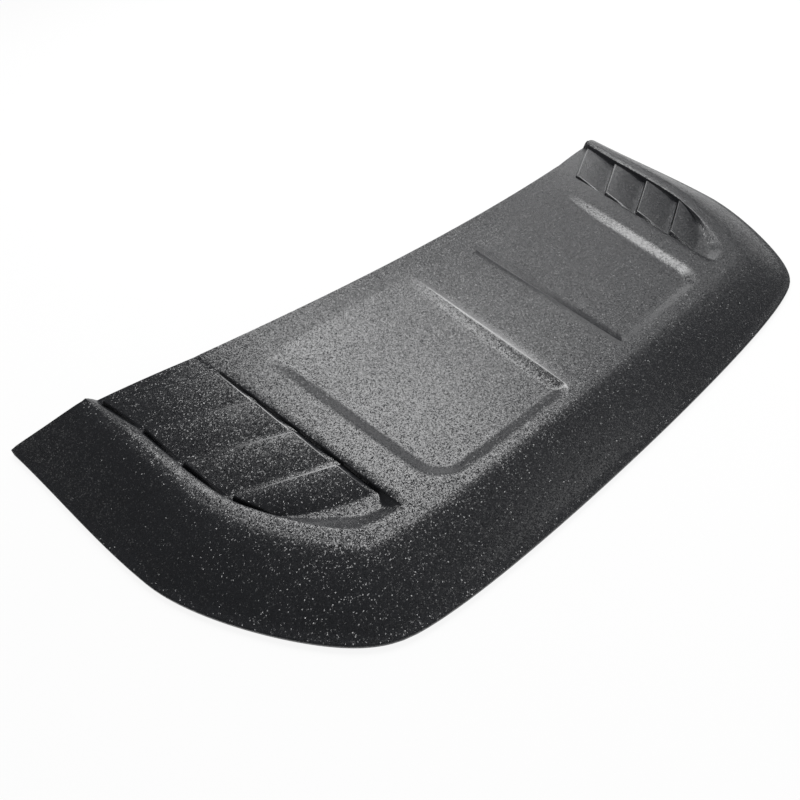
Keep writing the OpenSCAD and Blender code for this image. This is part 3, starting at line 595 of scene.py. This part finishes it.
    def panel_sink(self, u, v, y):
        """How far a panel lies below the top, and the share of its walls that is passed."""
        w, r = PANEL, self.g.panel_round
        inner = np.interp(u, [0, 2, 4, 10], [-w.spine, 0, w.in_wall, w.in_wall + 165])
        outer = np.interp(u, [4, 10, 12, 14], [w.out_wall + 165, w.out_wall, 0, -w.land])
        front = np.interp(v, [0, FLOOR_END, WALL_TOP, FRONT],
                          [w.front_wall + 287, w.front_wall, 0, -w.front_land])
        steep, soft = w.foot_share / w.in_wall, (1 - w.foot_share) / 10
        inner = (steep * np.maximum(0, inner) - (steep - soft) * np.maximum(0, inner - w.in_wall)
                 + steep * edge_fillet(inner, 1.2)
                 - (steep - soft) * edge_fillet(inner - w.in_wall, 4.5))
        share = np.minimum(outer / w.out_wall, front / w.front_wall)
        share = np.minimum(round_ramp(share, r / 14), inner)
        share = np.minimum(share, 1 - edge_fillet(share - 1, 0.02))
        t = clamp01((u - PIN_FOOT) / (POUT_FOOT - PIN_FOOT))
        depth = mix(self.g.panel_in_d * self.sink_in(y), self.g.panel_out_d * self.sink_out(y), t)
        return depth * share, share

    def rise(self, u, v, y):
        """Height above the smooth top: panels, vent, blades and rail, with their fillets."""
        g, w, r = self.g, self.g.vent_round, self.g.blade_round
        sink, share = self.panel_sink(u, v, y)
        rail_in = OUTLINE.rail_in * self.rail_z(self.out_s_at(v))
        rail_top = self.rail_z(self.crest_s_at(v))
        floor, blade = self.side_floor(v), self.blade_height(v)
        inner = self.sunk_inner(v, 0.1)
        outer = self.reach(v) - VENT.cheek
        fading = [blade + clamp01(3 - v) * VENT.sunk * (1 - t) for t in (0.3, 0.6, 0.85)]
        vent = between([0 * v, inner] + fading + [blade] * 2 + [floor, rail_in], u - VIN_TOP)
        rail = mix(rail_in, rail_top, clamp01(u - VOUT_TOP))
        rise = np.where(u > VOUT_TOP, rail, np.where(u > VIN_TOP, vent, 0))

        # fillets along the vent's inner and outer top edges, and at the feet of their walls
        near = np.where(u < VIN_TOP, (VIN_TOP - u) * PANEL.land / 2, (u - VIN_TOP) * VENT.wall)
        rise = rise + inner / VENT.wall * edge_fillet(near, w)
        near = np.where(u < VOUT_TOP, (VOUT_TOP - u) * outer, (u - VOUT_TOP) * OUTLINE.rail_w / 2)
        slope = np.where(v < WALL_TOP, (rail_in - floor) / outer, 0)
        rise = rise - slope * edge_fillet(near, w)

        # fillets along the blades' two sides, where the cheeks go down to the floor
        slope = np.where((v > LOUVRE) & (v < LAST_FOOT), blade - floor, 0)
        for edge, way, width in ((BLADE_IN, 1, self.cheek_in(v)), (BLADE_OUT, -1, VENT.cheek)):
            near = (u - edge) * way
            near = np.where(near < 0, near * width, near * 24)
            rise = rise - np.maximum(0, slope) / width * edge_fillet(near, r)

        # fillets at the top and foot of the sloped front wall
        inside = clamp01((u - VIN_TOP) * 2) * clamp01((VOUT_TOP - u) * 2)
        slope = inside * VENT.floors[3] / VENT.front_wall
        near = np.where(v < WALL_TOP, (WALL_TOP - v) * VENT.front_wall / 2, (v - WALL_TOP) * 3.5)
        rise = rise - slope * edge_fillet(near, 3)
        near = np.where(v < FLOOR_END, (FLOOR_END - v) * 6, (v - FLOOR_END) * VENT.front_wall / 2)
        rise = rise + slope * edge_fillet(near, 3)

        # hollow fillet where a blade meets the floor, and the rounded rear edge of a blade
        k = np.clip((v - LOUVRE) // STEP, 0, 3).astype(int)
        row = v - LOUVRE - STEP * k
        on = (u >= BLADE_IN) & (u <= BLADE_OUT) & (v >= LOUVRE) & (v < FLOOR_END)
        near = np.where(row < 3, (3 - row) * 18, (row - 3) * np.array(VENT.strips)[k])
        rise = rise + np.where(on, 0.16 * edge_fillet(near, 4), 0)
        drop = np.where(on & (row < 3), 0.04 * np.maximum(0, LIP - row * 18) ** 2, 0)
        return rise - drop - sink, share

    def surface(self, u, v):
        """Upper and lower face at columns u and rows v, and how much grain is there."""
        p = self.plan(u, v)
        x, y = p[..., 0], p[..., 1]
        rise, share = self.rise(u, v, y)
        top = np.stack([x, y, self.top_z(x, y) + rise], -1)
        shift = self.at_nodes(self.shift, u, v)
        under = top + shift * [1, 1, -1]
        return top, under, self.grain(u, v, y, share)

    def grain(self, u, v, y, share):
        """Where the mould is grained: less on a panel's outer and front walls and the vent's
        walls, and not along the edges of the blades and of the panels' inner walls."""
        deep = clamp01((-150 - y) / 60)
        wall = clamp01(4 * np.minimum(share, 1 - share)) * ((u > 5) | (v > FLOOR_END))
        grain = 1 - 0.6 * deep * wall
        vent = (v > LOUVRE - 0.1) & (v < WALL_TOP)
        k = np.clip((v - LOUVRE) // STEP, 0, 3).astype(int)
        row = v - LOUVRE - STEP * k
        line = self.g.blade_round * 1.05
        blade = (u > VIN_FOOT) & (u < VOUT_FOOT) & vent & (row < 3) & (v < LAST_FOOT)
        rear = blade & (row * 18 < 1.02 * LIP)
        in_mm = np.where(u < BLADE_IN, (BLADE_IN - u) * self.cheek_in(v), (u - BLADE_IN) * 24)
        out_mm = np.where(u > BLADE_OUT, (u - BLADE_OUT) * VENT.cheek, (BLADE_OUT - u) * 24)
        side = blade & (np.minimum(in_mm, out_mm) < line)
        wall = vent & (((u > VIN_TOP - 0.03) & (u <= VIN_FOOT))
                       | ((u > VOUT_FOOT) & (u <= VOUT_TOP))
                       | ((u > VIN_TOP) & (u < VOUT_TOP) & (v > FLOOR_END)))
        crease = (np.abs(u - PIN_TOP) * PANEL.in_wall / 2 < 1.3) & (v < WALL_TOP) & (y < -110)
        return np.where(rear | side | crease, 0.0, np.where(wall, 0.4, grain))

    def flank_profile(self):
        """Share of width, share of fall and extra drop of each line along the flank.

        The fall is a smooth curve through the part's own shares: a rounded crest, a straight
        slope and a slight flare. The last lines round the rim's upper edge.
        """
        q0 = np.array([0, 0.08, 0.18, 0.5, 0.8, 0.9, 1])
        f0 = np.array([0, 0.035, 0.115, 0.445, 0.8, 0.925, 1])
        slope = np.gradient(f0, q0)
        slope[0] = 0.12
        q = np.array([0.02, 0.04, 0.06, 0.08, 0.105, 0.13, 0.155, 0.18, 0.22, 0.28, 0.36, 0.44,
                      0.52, 0.6, 0.68, 0.76, 0.82, 0.87, 0.91, 0.95, 0.97, 0.9878])
        k = np.clip(np.searchsorted(q0, q, side="right") - 1, 0, len(q0) - 2)
        h = q0[k + 1] - q0[k]
        t = (q - q0[k]) / h
        fall = (f0[k] * (1 + 2 * t) * (1 - t) ** 2 + f0[k + 1] * t * t * (3 - 2 * t)
                + slope[k] * h * t * (1 - t) ** 2 - slope[k + 1] * h * t * t * (1 - t))
        round_q = 1 - np.array([0.5, 0.15, 0]) / self.g.flank_w
        return (np.concatenate([q, round_q]), np.concatenate([fall, [1, 1, 1]]),
                np.concatenate([0 * q, [0, 0.3, 0.9]]))

    def flank(self, s, z):
        """Upper and lower face of the flank for places s on the crest line of height z."""
        q, fall, drop = self.flank_profile()
        edge = self.rim_z + OUTLINE.rim_t
        p = self.flank_xy(s[:, None], q[None])
        cut = clamp01(1 - s / self.crest_s[1])[:, None, None] * RIM_CUT
        p = p - cut * clamp01((q - 0.9) / 0.1)[None, :, None]
        top = np.dstack([p, mix(z[:, None], edge, fall[None]) - drop[None]])
        under = top.copy()
        under[..., 2] = np.maximum(under[..., 2] - 1.12 * self.g.wall, self.rim_z)
        under[:, q >= 0.9, 2] = self.rim_z
        return top, under

    rim_z = 3.0


def stops(knots, fine, step):
    """Places along the net: every knot, extra ones beside some, and even ones between."""
    places = sorted(set(knots) | {k + d for k, ds in fine.items() for d in ds})
    out = [places[0]]
    for a, b in zip(places, places[1:]):
        n = max(1, int(np.ceil((b - a) / step(a, b) - 1e-6)))
        out += [mix(a, b, k / n) for k in range(1, n + 1)]
    return np.array(out)


def net_columns(g):
    """Columns of the fine net, close together at walls, fillets and blade edges."""
    r, c = g.blade_round / 24, g.blade_round / VENT.cheek
    near = g.vent_round / (PANEL.land / 2)
    fine = {PIN_TOP: (-0.03, 0.1, 0.2, 0.5), PIN_FOOT: (-0.8, -0.4, -0.15, 0.2, 0.45),
            POUT_FOOT: (-0.35, -0.15, 0.18, 0.36), POUT_TOP: (-0.36, -0.18, 0.06, 0.13),
            VIN_TOP: (-near, -near / 2, 0.33, 0.66), VOUT_TOP: (-0.5, -0.25, 0.09, 0.18),
            BLADE_IN: (-1.15 * c, -c, -c / 2, r / 2, r, 1.15 * r),
            BLADE_OUT: (-1.15 * r, -r, -r / 2, c / 2, c, 1.15 * c)}

    def step(a, b):
        if b <= PIN_TOP:
            return 0.5
        if PIN_FOOT <= a and b <= 7:
            return 0.34
        return 0.5

    return stops(range(CREST + 1), fine, step)


def net_rows(g):
    """Rows of the fine net, close together at each louvre, at walls and fillets."""
    fine = {WALL_TOP: (-0.4, -0.2, 0.43, 0.86), FLOOR_END: (-0.5, -0.25, 0.2, 0.4)}
    for k, strip in enumerate(VENT.strips):
        row = LOUVRE + STEP * k
        fine[row] = [d * LIP / 18 for d in (0.25, 0.6, 1, 1.12)]
        fine[row + 3] = (-0.22, -0.11, min(0.9, 2 / strip), min(0.95, 4 / strip))
    return stops(range(FRONT + 1), fine, lambda a, b: 0.34)


def open_cells(u, v):
    """The air slots behind the second to the last blade."""
    i, j = np.floor(np.abs(u)), np.floor(v)
    across = (i >= BLADE_IN) & (i < BLADE_OUT)
    return across & (j > LOUVRE) & (j < LAST) & ((j - LOUVRE) % STEP == 4)


def shell_mesh(g):
    """Points, faces and grain of the closed shell: an upper face, a lower one and edges."""
    form = ScoopForm(g)
    half, rows = net_columns(g), net_rows(g)
    u, v = np.meshgrid(half, rows, indexing="ij")
    top, under, grain = form.surface(u, v)
    flip = np.array([-1, 1, 1])
    both = lambda a: np.concatenate([a[:0:-1] * (flip if a.ndim == 3 else 1), a])
    top, under, grain = both(top), both(under), both(grain)
    n, m = len(top), len(rows)
    cols = np.concatenate([-half[:0:-1], half])
    ids = np.arange(n * m).reshape(n, m)

    # along the crest line from the left rear, round the front, to the right rear
    s = np.concatenate([form.crest_s_at(rows), form.front_s_at(half[:-1])[::-1]])
    ring_half = np.concatenate([ids[-1, :], ids[::-1, -1][1:len(half)]])
    z = top.reshape(-1, 3)[ring_half, 2]
    side_top, side_under = form.flank(s, z)
    mirrored = side_top * flip, side_under * flip
    flank_top = np.concatenate([mirrored[0], side_top[-2::-1]])
    flank_under = np.concatenate([mirrored[1], side_under[-2::-1]])
    ring = np.concatenate([ids[0, :], ids[1:, -1], ids[-1, -2::-1]])
    bands = flank_top.shape[1]
    flank_ids = n * m + np.arange(len(ring) * bands).reshape(len(ring), bands)
    flank_ids = np.concatenate([ring[:, None], flank_ids], 1)
    count = n * m + len(ring) * bands

    def quads(net, keep):
        a, b, c, d = net[:-1, :-1], net[1:, :-1], net[1:, 1:], net[:-1, 1:]
        return np.stack([a, b, c, d], -1)[keep]

    mid_u, mid_v = (cols[:-1] + cols[1:]) / 2, (rows[:-1] + rows[1:]) / 2
    keep = ~open_cells(mid_u[:, None], mid_v[None])
    inner = quads(ids, keep)[:, ::-1]
    outer = quads(flank_ids, np.ones((len(ring) - 1, bands), bool))[:, ::-1]
    faces = np.concatenate([inner, outer])

    # an edge that only one face has is where the sheet ends
    edges = np.stack([faces, np.roll(faces, -1, 1)], -1).reshape(-1, 2)
    key = edges[:, 0] * count + edges[:, 1]
    twin = edges[:, 1] * count + edges[:, 0]
    ends = edges[~np.isin(key, twin)]
    walls = np.stack([ends[:, 1], ends[:, 0], ends[:, 0] + count, ends[:, 1] + count], -1)
    faces = np.concatenate([faces, faces[:, ::-1] + count, walls])
    points = np.concatenate([top.reshape(-1, 3), flank_top.reshape(-1, 3),
                             under.reshape(-1, 3), flank_under.reshape(-1, 3)])
    grains = np.concatenate([grain.ravel(), np.ones(len(ring) * bands), np.zeros(count)])
    return points, faces, grains


def plan_shift(g):
    """How far the half plan moves back to stand on the part's own origin."""
    form = ScoopForm(g)
    rear = max(form.flank_xy(0.0, 0.9)[1], form.flank_xy(0.0, 1.0)[1] - OUTLINE.rim_cut)
    return (g.top_d + g.flank_w - rear) / 2


def add_piece(name, points, faces, material, shift, body="root"):
    """A mesh object of points in millimetres, moved to the part's frame and in metres."""
    used, faces = np.unique(faces, return_inverse=True)
    mesh = bpy.data.meshes.new(name)
    mesh.from_pydata((points[used] + [0, shift, 0]) * MM, [], faces.reshape(-1, 4).tolist())
    mesh.update()
    mesh.polygons.foreach_set("use_smooth", np.ones(len(mesh.polygons), bool))
    mesh.set_sharp_from_angle(angle=np.radians(50))
    mesh.materials.append(material)
    piece = bpy.data.objects.new(name, mesh)
    bpy.context.scene.collection.objects.link(piece)
    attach(piece, body)
    return piece, used


def add_node(tree, kind, settings=None, inputs=None):
    """Adds a node, sets its own settings, and fills or links its inputs by name or number."""
    node = tree.nodes.new(kind)
    for name, value in (settings or {}).items():
        setattr(node, name, value)
    for name, value in (inputs or {}).items():
        if isinstance(value, bpy.types.NodeSocket):
            tree.links.new(value, node.inputs[name])
        else:
            node.inputs[name].default_value = value
    return node


def new_material(name):
    """An empty node material, with the tree and its output."""
    material = bpy.data.materials.new(name)
    material.use_nodes = True
    tree = material.node_tree
    tree.nodes.clear()
    return material, tree, tree.nodes.new("ShaderNodeOutputMaterial")


def blend_shades(tree, share, colour, dark, light):
    """The same colour from a darker to a lighter level, by a pattern's value."""
    return add_node(tree, "ShaderNodeMix", {"data_type": "RGBA"}, {
        0: share, 6: (*(dark * c for c in colour), 1),
        7: (*(light * c for c in colour), 1)}).outputs[2]


def finish_material(tree, out, inputs):
    """The principled shader with its inputs, linked to the material's output."""
    shader = add_node(tree, "ShaderNodeBsdfPrincipled", inputs=inputs)
    tree.links.new(shader.outputs["BSDF"], out.inputs["Surface"])


def scalar_math(tree, kind, *values):
    """The value of one step of arithmetic on numbers and sockets."""
    return add_node(tree, "ShaderNodeMath", {"operation": kind},
                    dict(enumerate(values))).outputs["Value"]


def vector_math(tree, kind, *values):
    """The vector that one step of arithmetic on vectors gives."""
    return add_node(tree, "ShaderNodeVectorMath", {"operation": kind},
                    dict(enumerate(values))).outputs["Vector"]


def grained_abs(f):
    """Injection-moulded black ABS from a spark-eroded mould: a fine irregular grain of small
    facets about 1 mm across, each tilted its own way, a few of them steeply so that they
    catch the light as sparks, and a plain satin skin where the mould was left smooth."""
    material, tree, out = new_material("grained_abs_moulded")
    where = add_node(tree, "ShaderNodeTexCoord").outputs["Object"]
    level = add_node(tree, "ShaderNodeNewGeometry").outputs["Normal"]
    mask = add_node(tree, "ShaderNodeAttribute", {"attribute_name": "grain"}).outputs["Fac"]
    facets = add_node(tree, "ShaderNodeTexVoronoi", inputs={
        "Vector": where, "Scale": 1 / f.grain_size})
    tilt = vector_math(tree, "SUBTRACT", facets.outputs["Color"], (0.5, 0.5, 0.5))
    chance = add_node(tree, "ShaderNodeTexWhiteNoise", inputs={
        "Vector": facets.outputs["Position"]}).outputs["Value"]
    few_steep = scalar_math(tree, "POWER", chance, 3.0)
    steep = scalar_math(tree, "MULTIPLY_ADD", few_steep, 1.9 * f.grain_tilt, 0.2 * f.grain_tilt)
    tilt = add_node(tree, "ShaderNodeVectorMath", {"operation": "SCALE"}, {
        0: tilt, "Scale": scalar_math(tree, "MULTIPLY", mask, steep)}).outputs["Vector"]
    tilted = vector_math(tree, "NORMALIZE", vector_math(tree, "ADD", level, tilt))
    pit = add_node(tree, "ShaderNodeMapRange", inputs={
        "Value": facets.outputs["Distance"], "From Min": 0.1, "From Max": 0.7,
        "To Min": f.roughness - 0.05, "To Max": f.roughness + 0.1}).outputs["Result"]
    rough = add_node(tree, "ShaderNodeMix", {"data_type": "FLOAT"}, {
        0: mask, 2: f.roughness - 0.04, 3: pit}).outputs[0]
    cloud = add_node(tree, "ShaderNodeTexNoise", inputs={
        "Vector": where, "Scale": 1 / 0.06, "Detail": 2.0}).outputs["Fac"]
    finish_material(tree, out, {
        "Base Color": blend_shades(tree, cloud, f.abs_black, 0.85, 1.15),
        "Roughness": rough, "Normal": tilted, "IOR": 1.53})
    return material


def extruded_rubber(f):
    """Extruded EPDM rubber: dull black with faint lines of bloom and dust."""
    material, tree, out = new_material("edge_seal_extruded_rubber")
    where = add_node(tree, "ShaderNodeTexCoord").outputs["Object"]
    bloom = add_node(tree, "ShaderNodeTexNoise", inputs={
        "Vector": where, "Scale": 1 / 0.012, "Detail": 4.0}).outputs["Fac"]
    rough = add_node(tree, "ShaderNodeMapRange", inputs={
        "Value": bloom, "To Min": 0.5, "To Max": 0.68}).outputs["Result"]
    fine = add_node(tree, "ShaderNodeTexNoise", inputs={
        "Vector": where, "Scale": 1 / 0.0008, "Detail": 1.0}).outputs["Fac"]
    bump = add_node(tree, "ShaderNodeBump", inputs={
        "Height": fine, "Strength": 0.4, "Distance": 0.00005}).outputs["Normal"]
    finish_material(tree, out, {
        "Base Color": blend_shades(tree, bloom, f.rubber_black, 0.7, 1.5),
        "Roughness": rough, "Normal": bump, "IOR": 1.52})
    return material


def acrylic_foam(f):
    """Closed-cell acrylic foam tape: matt grey with open cells about 0.5 mm across."""
    material, tree, out = new_material("tape_acrylic_foam")
    where = add_node(tree, "ShaderNodeTexCoord").outputs["Object"]
    cells = add_node(tree, "ShaderNodeTexVoronoi", inputs={
        "Vector": where, "Scale": 1 / 0.0006}).outputs["Distance"]
    bump = add_node(tree, "ShaderNodeBump", inputs={
        "Height": cells, "Strength": 0.6, "Distance": 0.00012}).outputs["Normal"]
    # The grey is painted darker in the low middle of each cell of the bump and lighter on the
    # ridges between cells: painted shade in the cells' pits.
    finish_material(tree, out, {
        "Base Color": blend_shades(tree, cells, f.foam_grey, 0.75, 1.2),
        "Roughness": 0.85, "Normal": bump, "IOR": 1.45})
    return material


def sizes(group):
    """A group's lengths in millimetres."""
    return SimpleNamespace(**{k: getattr(group, k) / MM for k in group.__annotations__})


class SCOOP_OT_shell(Operator):
    """Builds the moulded shell with its panels, rails, vents and louvres"""
    bl_idname = "scoop.add_shell"
    bl_label = "Add shell"

    def execute(self, context):
        scene = context.scene
        g = sizes(scene.scoop_shell)
        points, faces, grains = shell_mesh(g)
        piece, used = add_piece("shell_moulded", points, faces,
                                grained_abs(scene.scoop_finish), plan_shift(g))
        grain = piece.data.attributes.new("grain", "FLOAT", "POINT")
        grain.data.foreach_set("value", grains[used].astype(np.float32))
        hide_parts("scoop_shell")
        return {"FINISHED"}


def seal_profile(r):
    """Section of the seal: distance in from its outer side, and height.

    A flat body under the rim, a step in on each side, and a rounded foot, all with
    corners of a quarter round.
    """
    w, h, foot, step, c = r.seal_w, r.seal_h, r.foot_h, r.foot_step, r.corner
    turn = np.radians([0, 30, 60, 90])

    def quarter(x, z, start):
        return [(x + c * np.cos(t + start), z + c * np.sin(t + start)) for t in turn]

    half = quarter(w - c, h - c, 0)[::-1]
    half += quarter(w - c, foot + c, -np.pi / 2)[::-1]
    half += [(w - step, foot)]
    big = 0.6 * c
    half += [(w - step, big), (w - step - 0.3 * big, 0.3 * big), (w - step - big, 0)]
    half = np.array(half)
    other = half[::-1] * [-1, 1] + [w, 0]
    return np.concatenate([half, other])


def swept_seal(form, r, s0, s1, steps, whole):
    """The seal's section carried along the rim, closed by a face at each end."""
    profile = seal_profile(r)
    s = np.linspace(s0, s1, steps + 1)
    q = 1 - (SEAL.inset + profile[:, 0]) / form.g.flank_w
    p = form.flank_xy(s[:, None], q[None])
    ring = np.dstack([p, np.broadcast_to(profile[:, 1], p.shape[:2])])
    if whole:
        ring = np.concatenate([ring, (ring * [-1, 1, 1])[-2::-1]])
    n, k = ring.shape[:2]
    ids = np.arange(n * k).reshape(n, k)
    ahead = np.roll(ids, -1, 1)
    sides = np.stack([ids[:-1], ahead[:-1], ahead[1:], ids[1:]], -1).reshape(-1, 4)
    half = k // 2
    low = np.arange(half - 1)
    cap = np.stack([low, low + 1, k - 2 - low, k - 1 - low], -1)
    return ring.reshape(-1, 3), np.concatenate(
        [sides, cap[:, ::-1], cap + (n - 1) * k])


class SCOOP_OT_seals(Operator):
    """Builds the three lengths of rubber edge seal under the rim"""
    bl_idname = "scoop.add_seals"
    bl_label = "Add edge seals"

    def execute(self, context):
        scene = context.scene
        g, r = sizes(scene.scoop_shell), sizes(scene.scoop_rubber)
        form, shift = ScoopForm(g), plan_shift(g)
        rubber = extruded_rubber(scene.scoop_finish)
        side_end = float(form.crest_at_x(SEAL.joint_x + SEAL.gap / 2))
        front_end = float(form.crest_at_x(SEAL.joint_x - SEAL.gap / 2))
        right = swept_seal(form, r, SEAL.rear_s, side_end, 110, False)
        left = right[0] * [-1, 1, 1], right[1][:, ::-1]
        front = swept_seal(form, r, front_end, 3, 60, True)
        for side, (points, faces) in (("right", right), ("left", left), ("front", front)):
            piece, _ = add_piece(f"seal_{side}", points, faces, rubber, shift)
            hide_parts(f"edge_seal_{side}")
        return {"FINISHED"}


class SCOOP_OT_tapes(Operator):
    """Gives the foam mounting tapes their material"""
    bl_idname = "scoop.finish_tapes"
    bl_label = "Finish tapes"

    def execute(self, context):
        foam = acrylic_foam(context.scene.scoop_finish)
        for name in ("tape_left", "tape_front", "tape_right"):
            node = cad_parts[name]
            node.data.materials.clear()
            node.data.materials.append(foam)
        return {"FINISHED"}


def add_light(name, place, size, watts):
    """A soft rectangular lamp at a place, turned to the part's origin."""
    lamp = bpy.data.lights.new(name, "AREA")
    lamp.shape, lamp.size, lamp.size_y, lamp.energy = "RECTANGLE", *size, watts
    obj = bpy.data.objects.new(name, lamp)
    obj.location = place
    obj.rotation_euler = Vector(place).to_track_quat("Z", "Y").to_euler()
    bpy.context.scene.collection.objects.link(obj)


def floor_paint(colour, paper):
    """White matt paint, with a share of plain white where it is looked at or mirrored."""
    material, tree, out = new_material("floor_white_paint")
    lit = add_node(tree, "ShaderNodeBsdfDiffuse", inputs={"Color": (*colour, 1)}).outputs["BSDF"]
    white = add_node(tree, "ShaderNodeEmission", inputs={"Strength": 1.0}).outputs["Emission"]
    rays = add_node(tree, "ShaderNodeLightPath").outputs
    seen = scalar_math(tree, "MAXIMUM", rays["Is Camera Ray"], rays["Is Glossy Ray"])
    seen = scalar_math(tree, "MAXIMUM", seen, rays["Is Transmission Ray"])
    both = add_node(tree, "ShaderNodeMixShader", inputs={
        0: scalar_math(tree, "MULTIPLY", seen, paper), 1: lit, 2: white})
    tree.links.new(both.outputs["Shader"], out.inputs["Surface"])
    return material


class SCOOP_OT_stage(Operator):
    """Builds the floor, the soft light and the camera"""
    bl_idname = "scoop.add_stage"
    bl_label = "Add stage"

    def execute(self, context):
        scene = context.scene
        stage = scene.scoop_stage

        mesh = bpy.data.meshes.new("floor")
        xs, ys, n = FLOOR.xs, FLOOR.ys, len(FLOOR.xs)
        mesh.from_pydata([(x, y, FLOOR.z) for y in ys for x in xs], [],
                         [(n * j + i, n * j + i + 1, n * j + i + n + 1, n * j + i + n)
                          for j in range(len(ys) - 1) for i in range(n - 1)])
        floor = bpy.data.objects.new("floor", mesh)
        scene.collection.objects.link(floor)
        mesh.materials.append(floor_paint(stage.floor, stage.paper))
        mesh.materials.append(floor_paint(stage.floor, 0.0))
        for covered in FLOOR.covered:
            mesh.polygons[covered].material_index = 1

        world = bpy.data.worlds.new("studio")
        world.use_nodes = True
        tree = world.node_tree
        tree.nodes.clear()
        out = tree.nodes.new("ShaderNodeOutputWorld")
        seen = add_node(tree, "ShaderNodeLightPath").outputs["Is Camera Ray"]
        level = add_node(tree, "ShaderNodeMix", {"data_type": "FLOAT"}, {
            0: seen, 2: stage.world_level, 3: 1.0}).outputs[0]
        back = add_node(tree, "ShaderNodeBackground", inputs={
            "Color": (1, 1, 1, 1), "Strength": level})
        tree.links.new(back.outputs["Background"], out.inputs["Surface"])
        scene.world = world

        for name, place, size, setting in LAMPS:
            add_light(name, place, size, getattr(stage, setting))

        camera = bpy.data.cameras.new("camera")
        camera.sensor_width, camera.lens = CAMERA.sensor, CAMERA.lens
        obj = bpy.data.objects.new("camera", camera)
        scene.collection.objects.link(obj)
        turn = Matrix((CAMERA.right, CAMERA.up, CAMERA.back)).transposed().to_4x4()
        turn.translation = CAMERA.place
        obj.matrix_world = turn
        scene.camera = obj
        scene.view_settings.view_transform = "Standard"
        return {"FINISHED"}


class SCOOP_PT_panel(Panel):
    """Lists the scoop's pieces and their settings"""
    bl_idname = "SCOOP_PT_panel"
    bl_label = "Bonnet scoop"
    bl_space_type = "VIEW_3D"
    bl_region_type = "UI"
    bl_category = "Scoop"

    def draw(self, context):
        for group, operator in (("scoop_shell", "scoop.add_shell"),
                                ("scoop_rubber", "scoop.add_seals"),
                                ("scoop_finish", "scoop.finish_tapes"),
                                ("scoop_stage", "scoop.add_stage")):
            box = self.layout.box()
            settings = getattr(context.scene, group)
            for name in settings.__annotations__:
                box.prop(settings, name)
            box.operator(operator)


GROUPS = {"scoop_shell": SCOOP_PG_shell, "scoop_rubber": SCOOP_PG_rubber,
          "scoop_finish": SCOOP_PG_finish, "scoop_stage": SCOOP_PG_stage}
CLASSES = (*GROUPS.values(), SCOOP_OT_shell, SCOOP_OT_seals, SCOOP_OT_tapes, SCOOP_OT_stage,
           SCOOP_PT_panel)


def register():
    for item in CLASSES:
        bpy.utils.register_class(item)
    for name, group in GROUPS.items():
        setattr(bpy.types.Scene, name, PointerProperty(type=group))


def unregister():
    for name in GROUPS:
        delattr(bpy.types.Scene, name)
    for item in reversed(CLASSES):
        bpy.utils.unregister_class(item)


def main():
    """Builds every piece."""
    register()
    bpy.ops.scoop.add_stage()
    bpy.ops.scoop.add_shell()
    bpy.ops.scoop.add_seals()
    bpy.ops.scoop.finish_tapes()


if __name__ == "__main__":
    main()
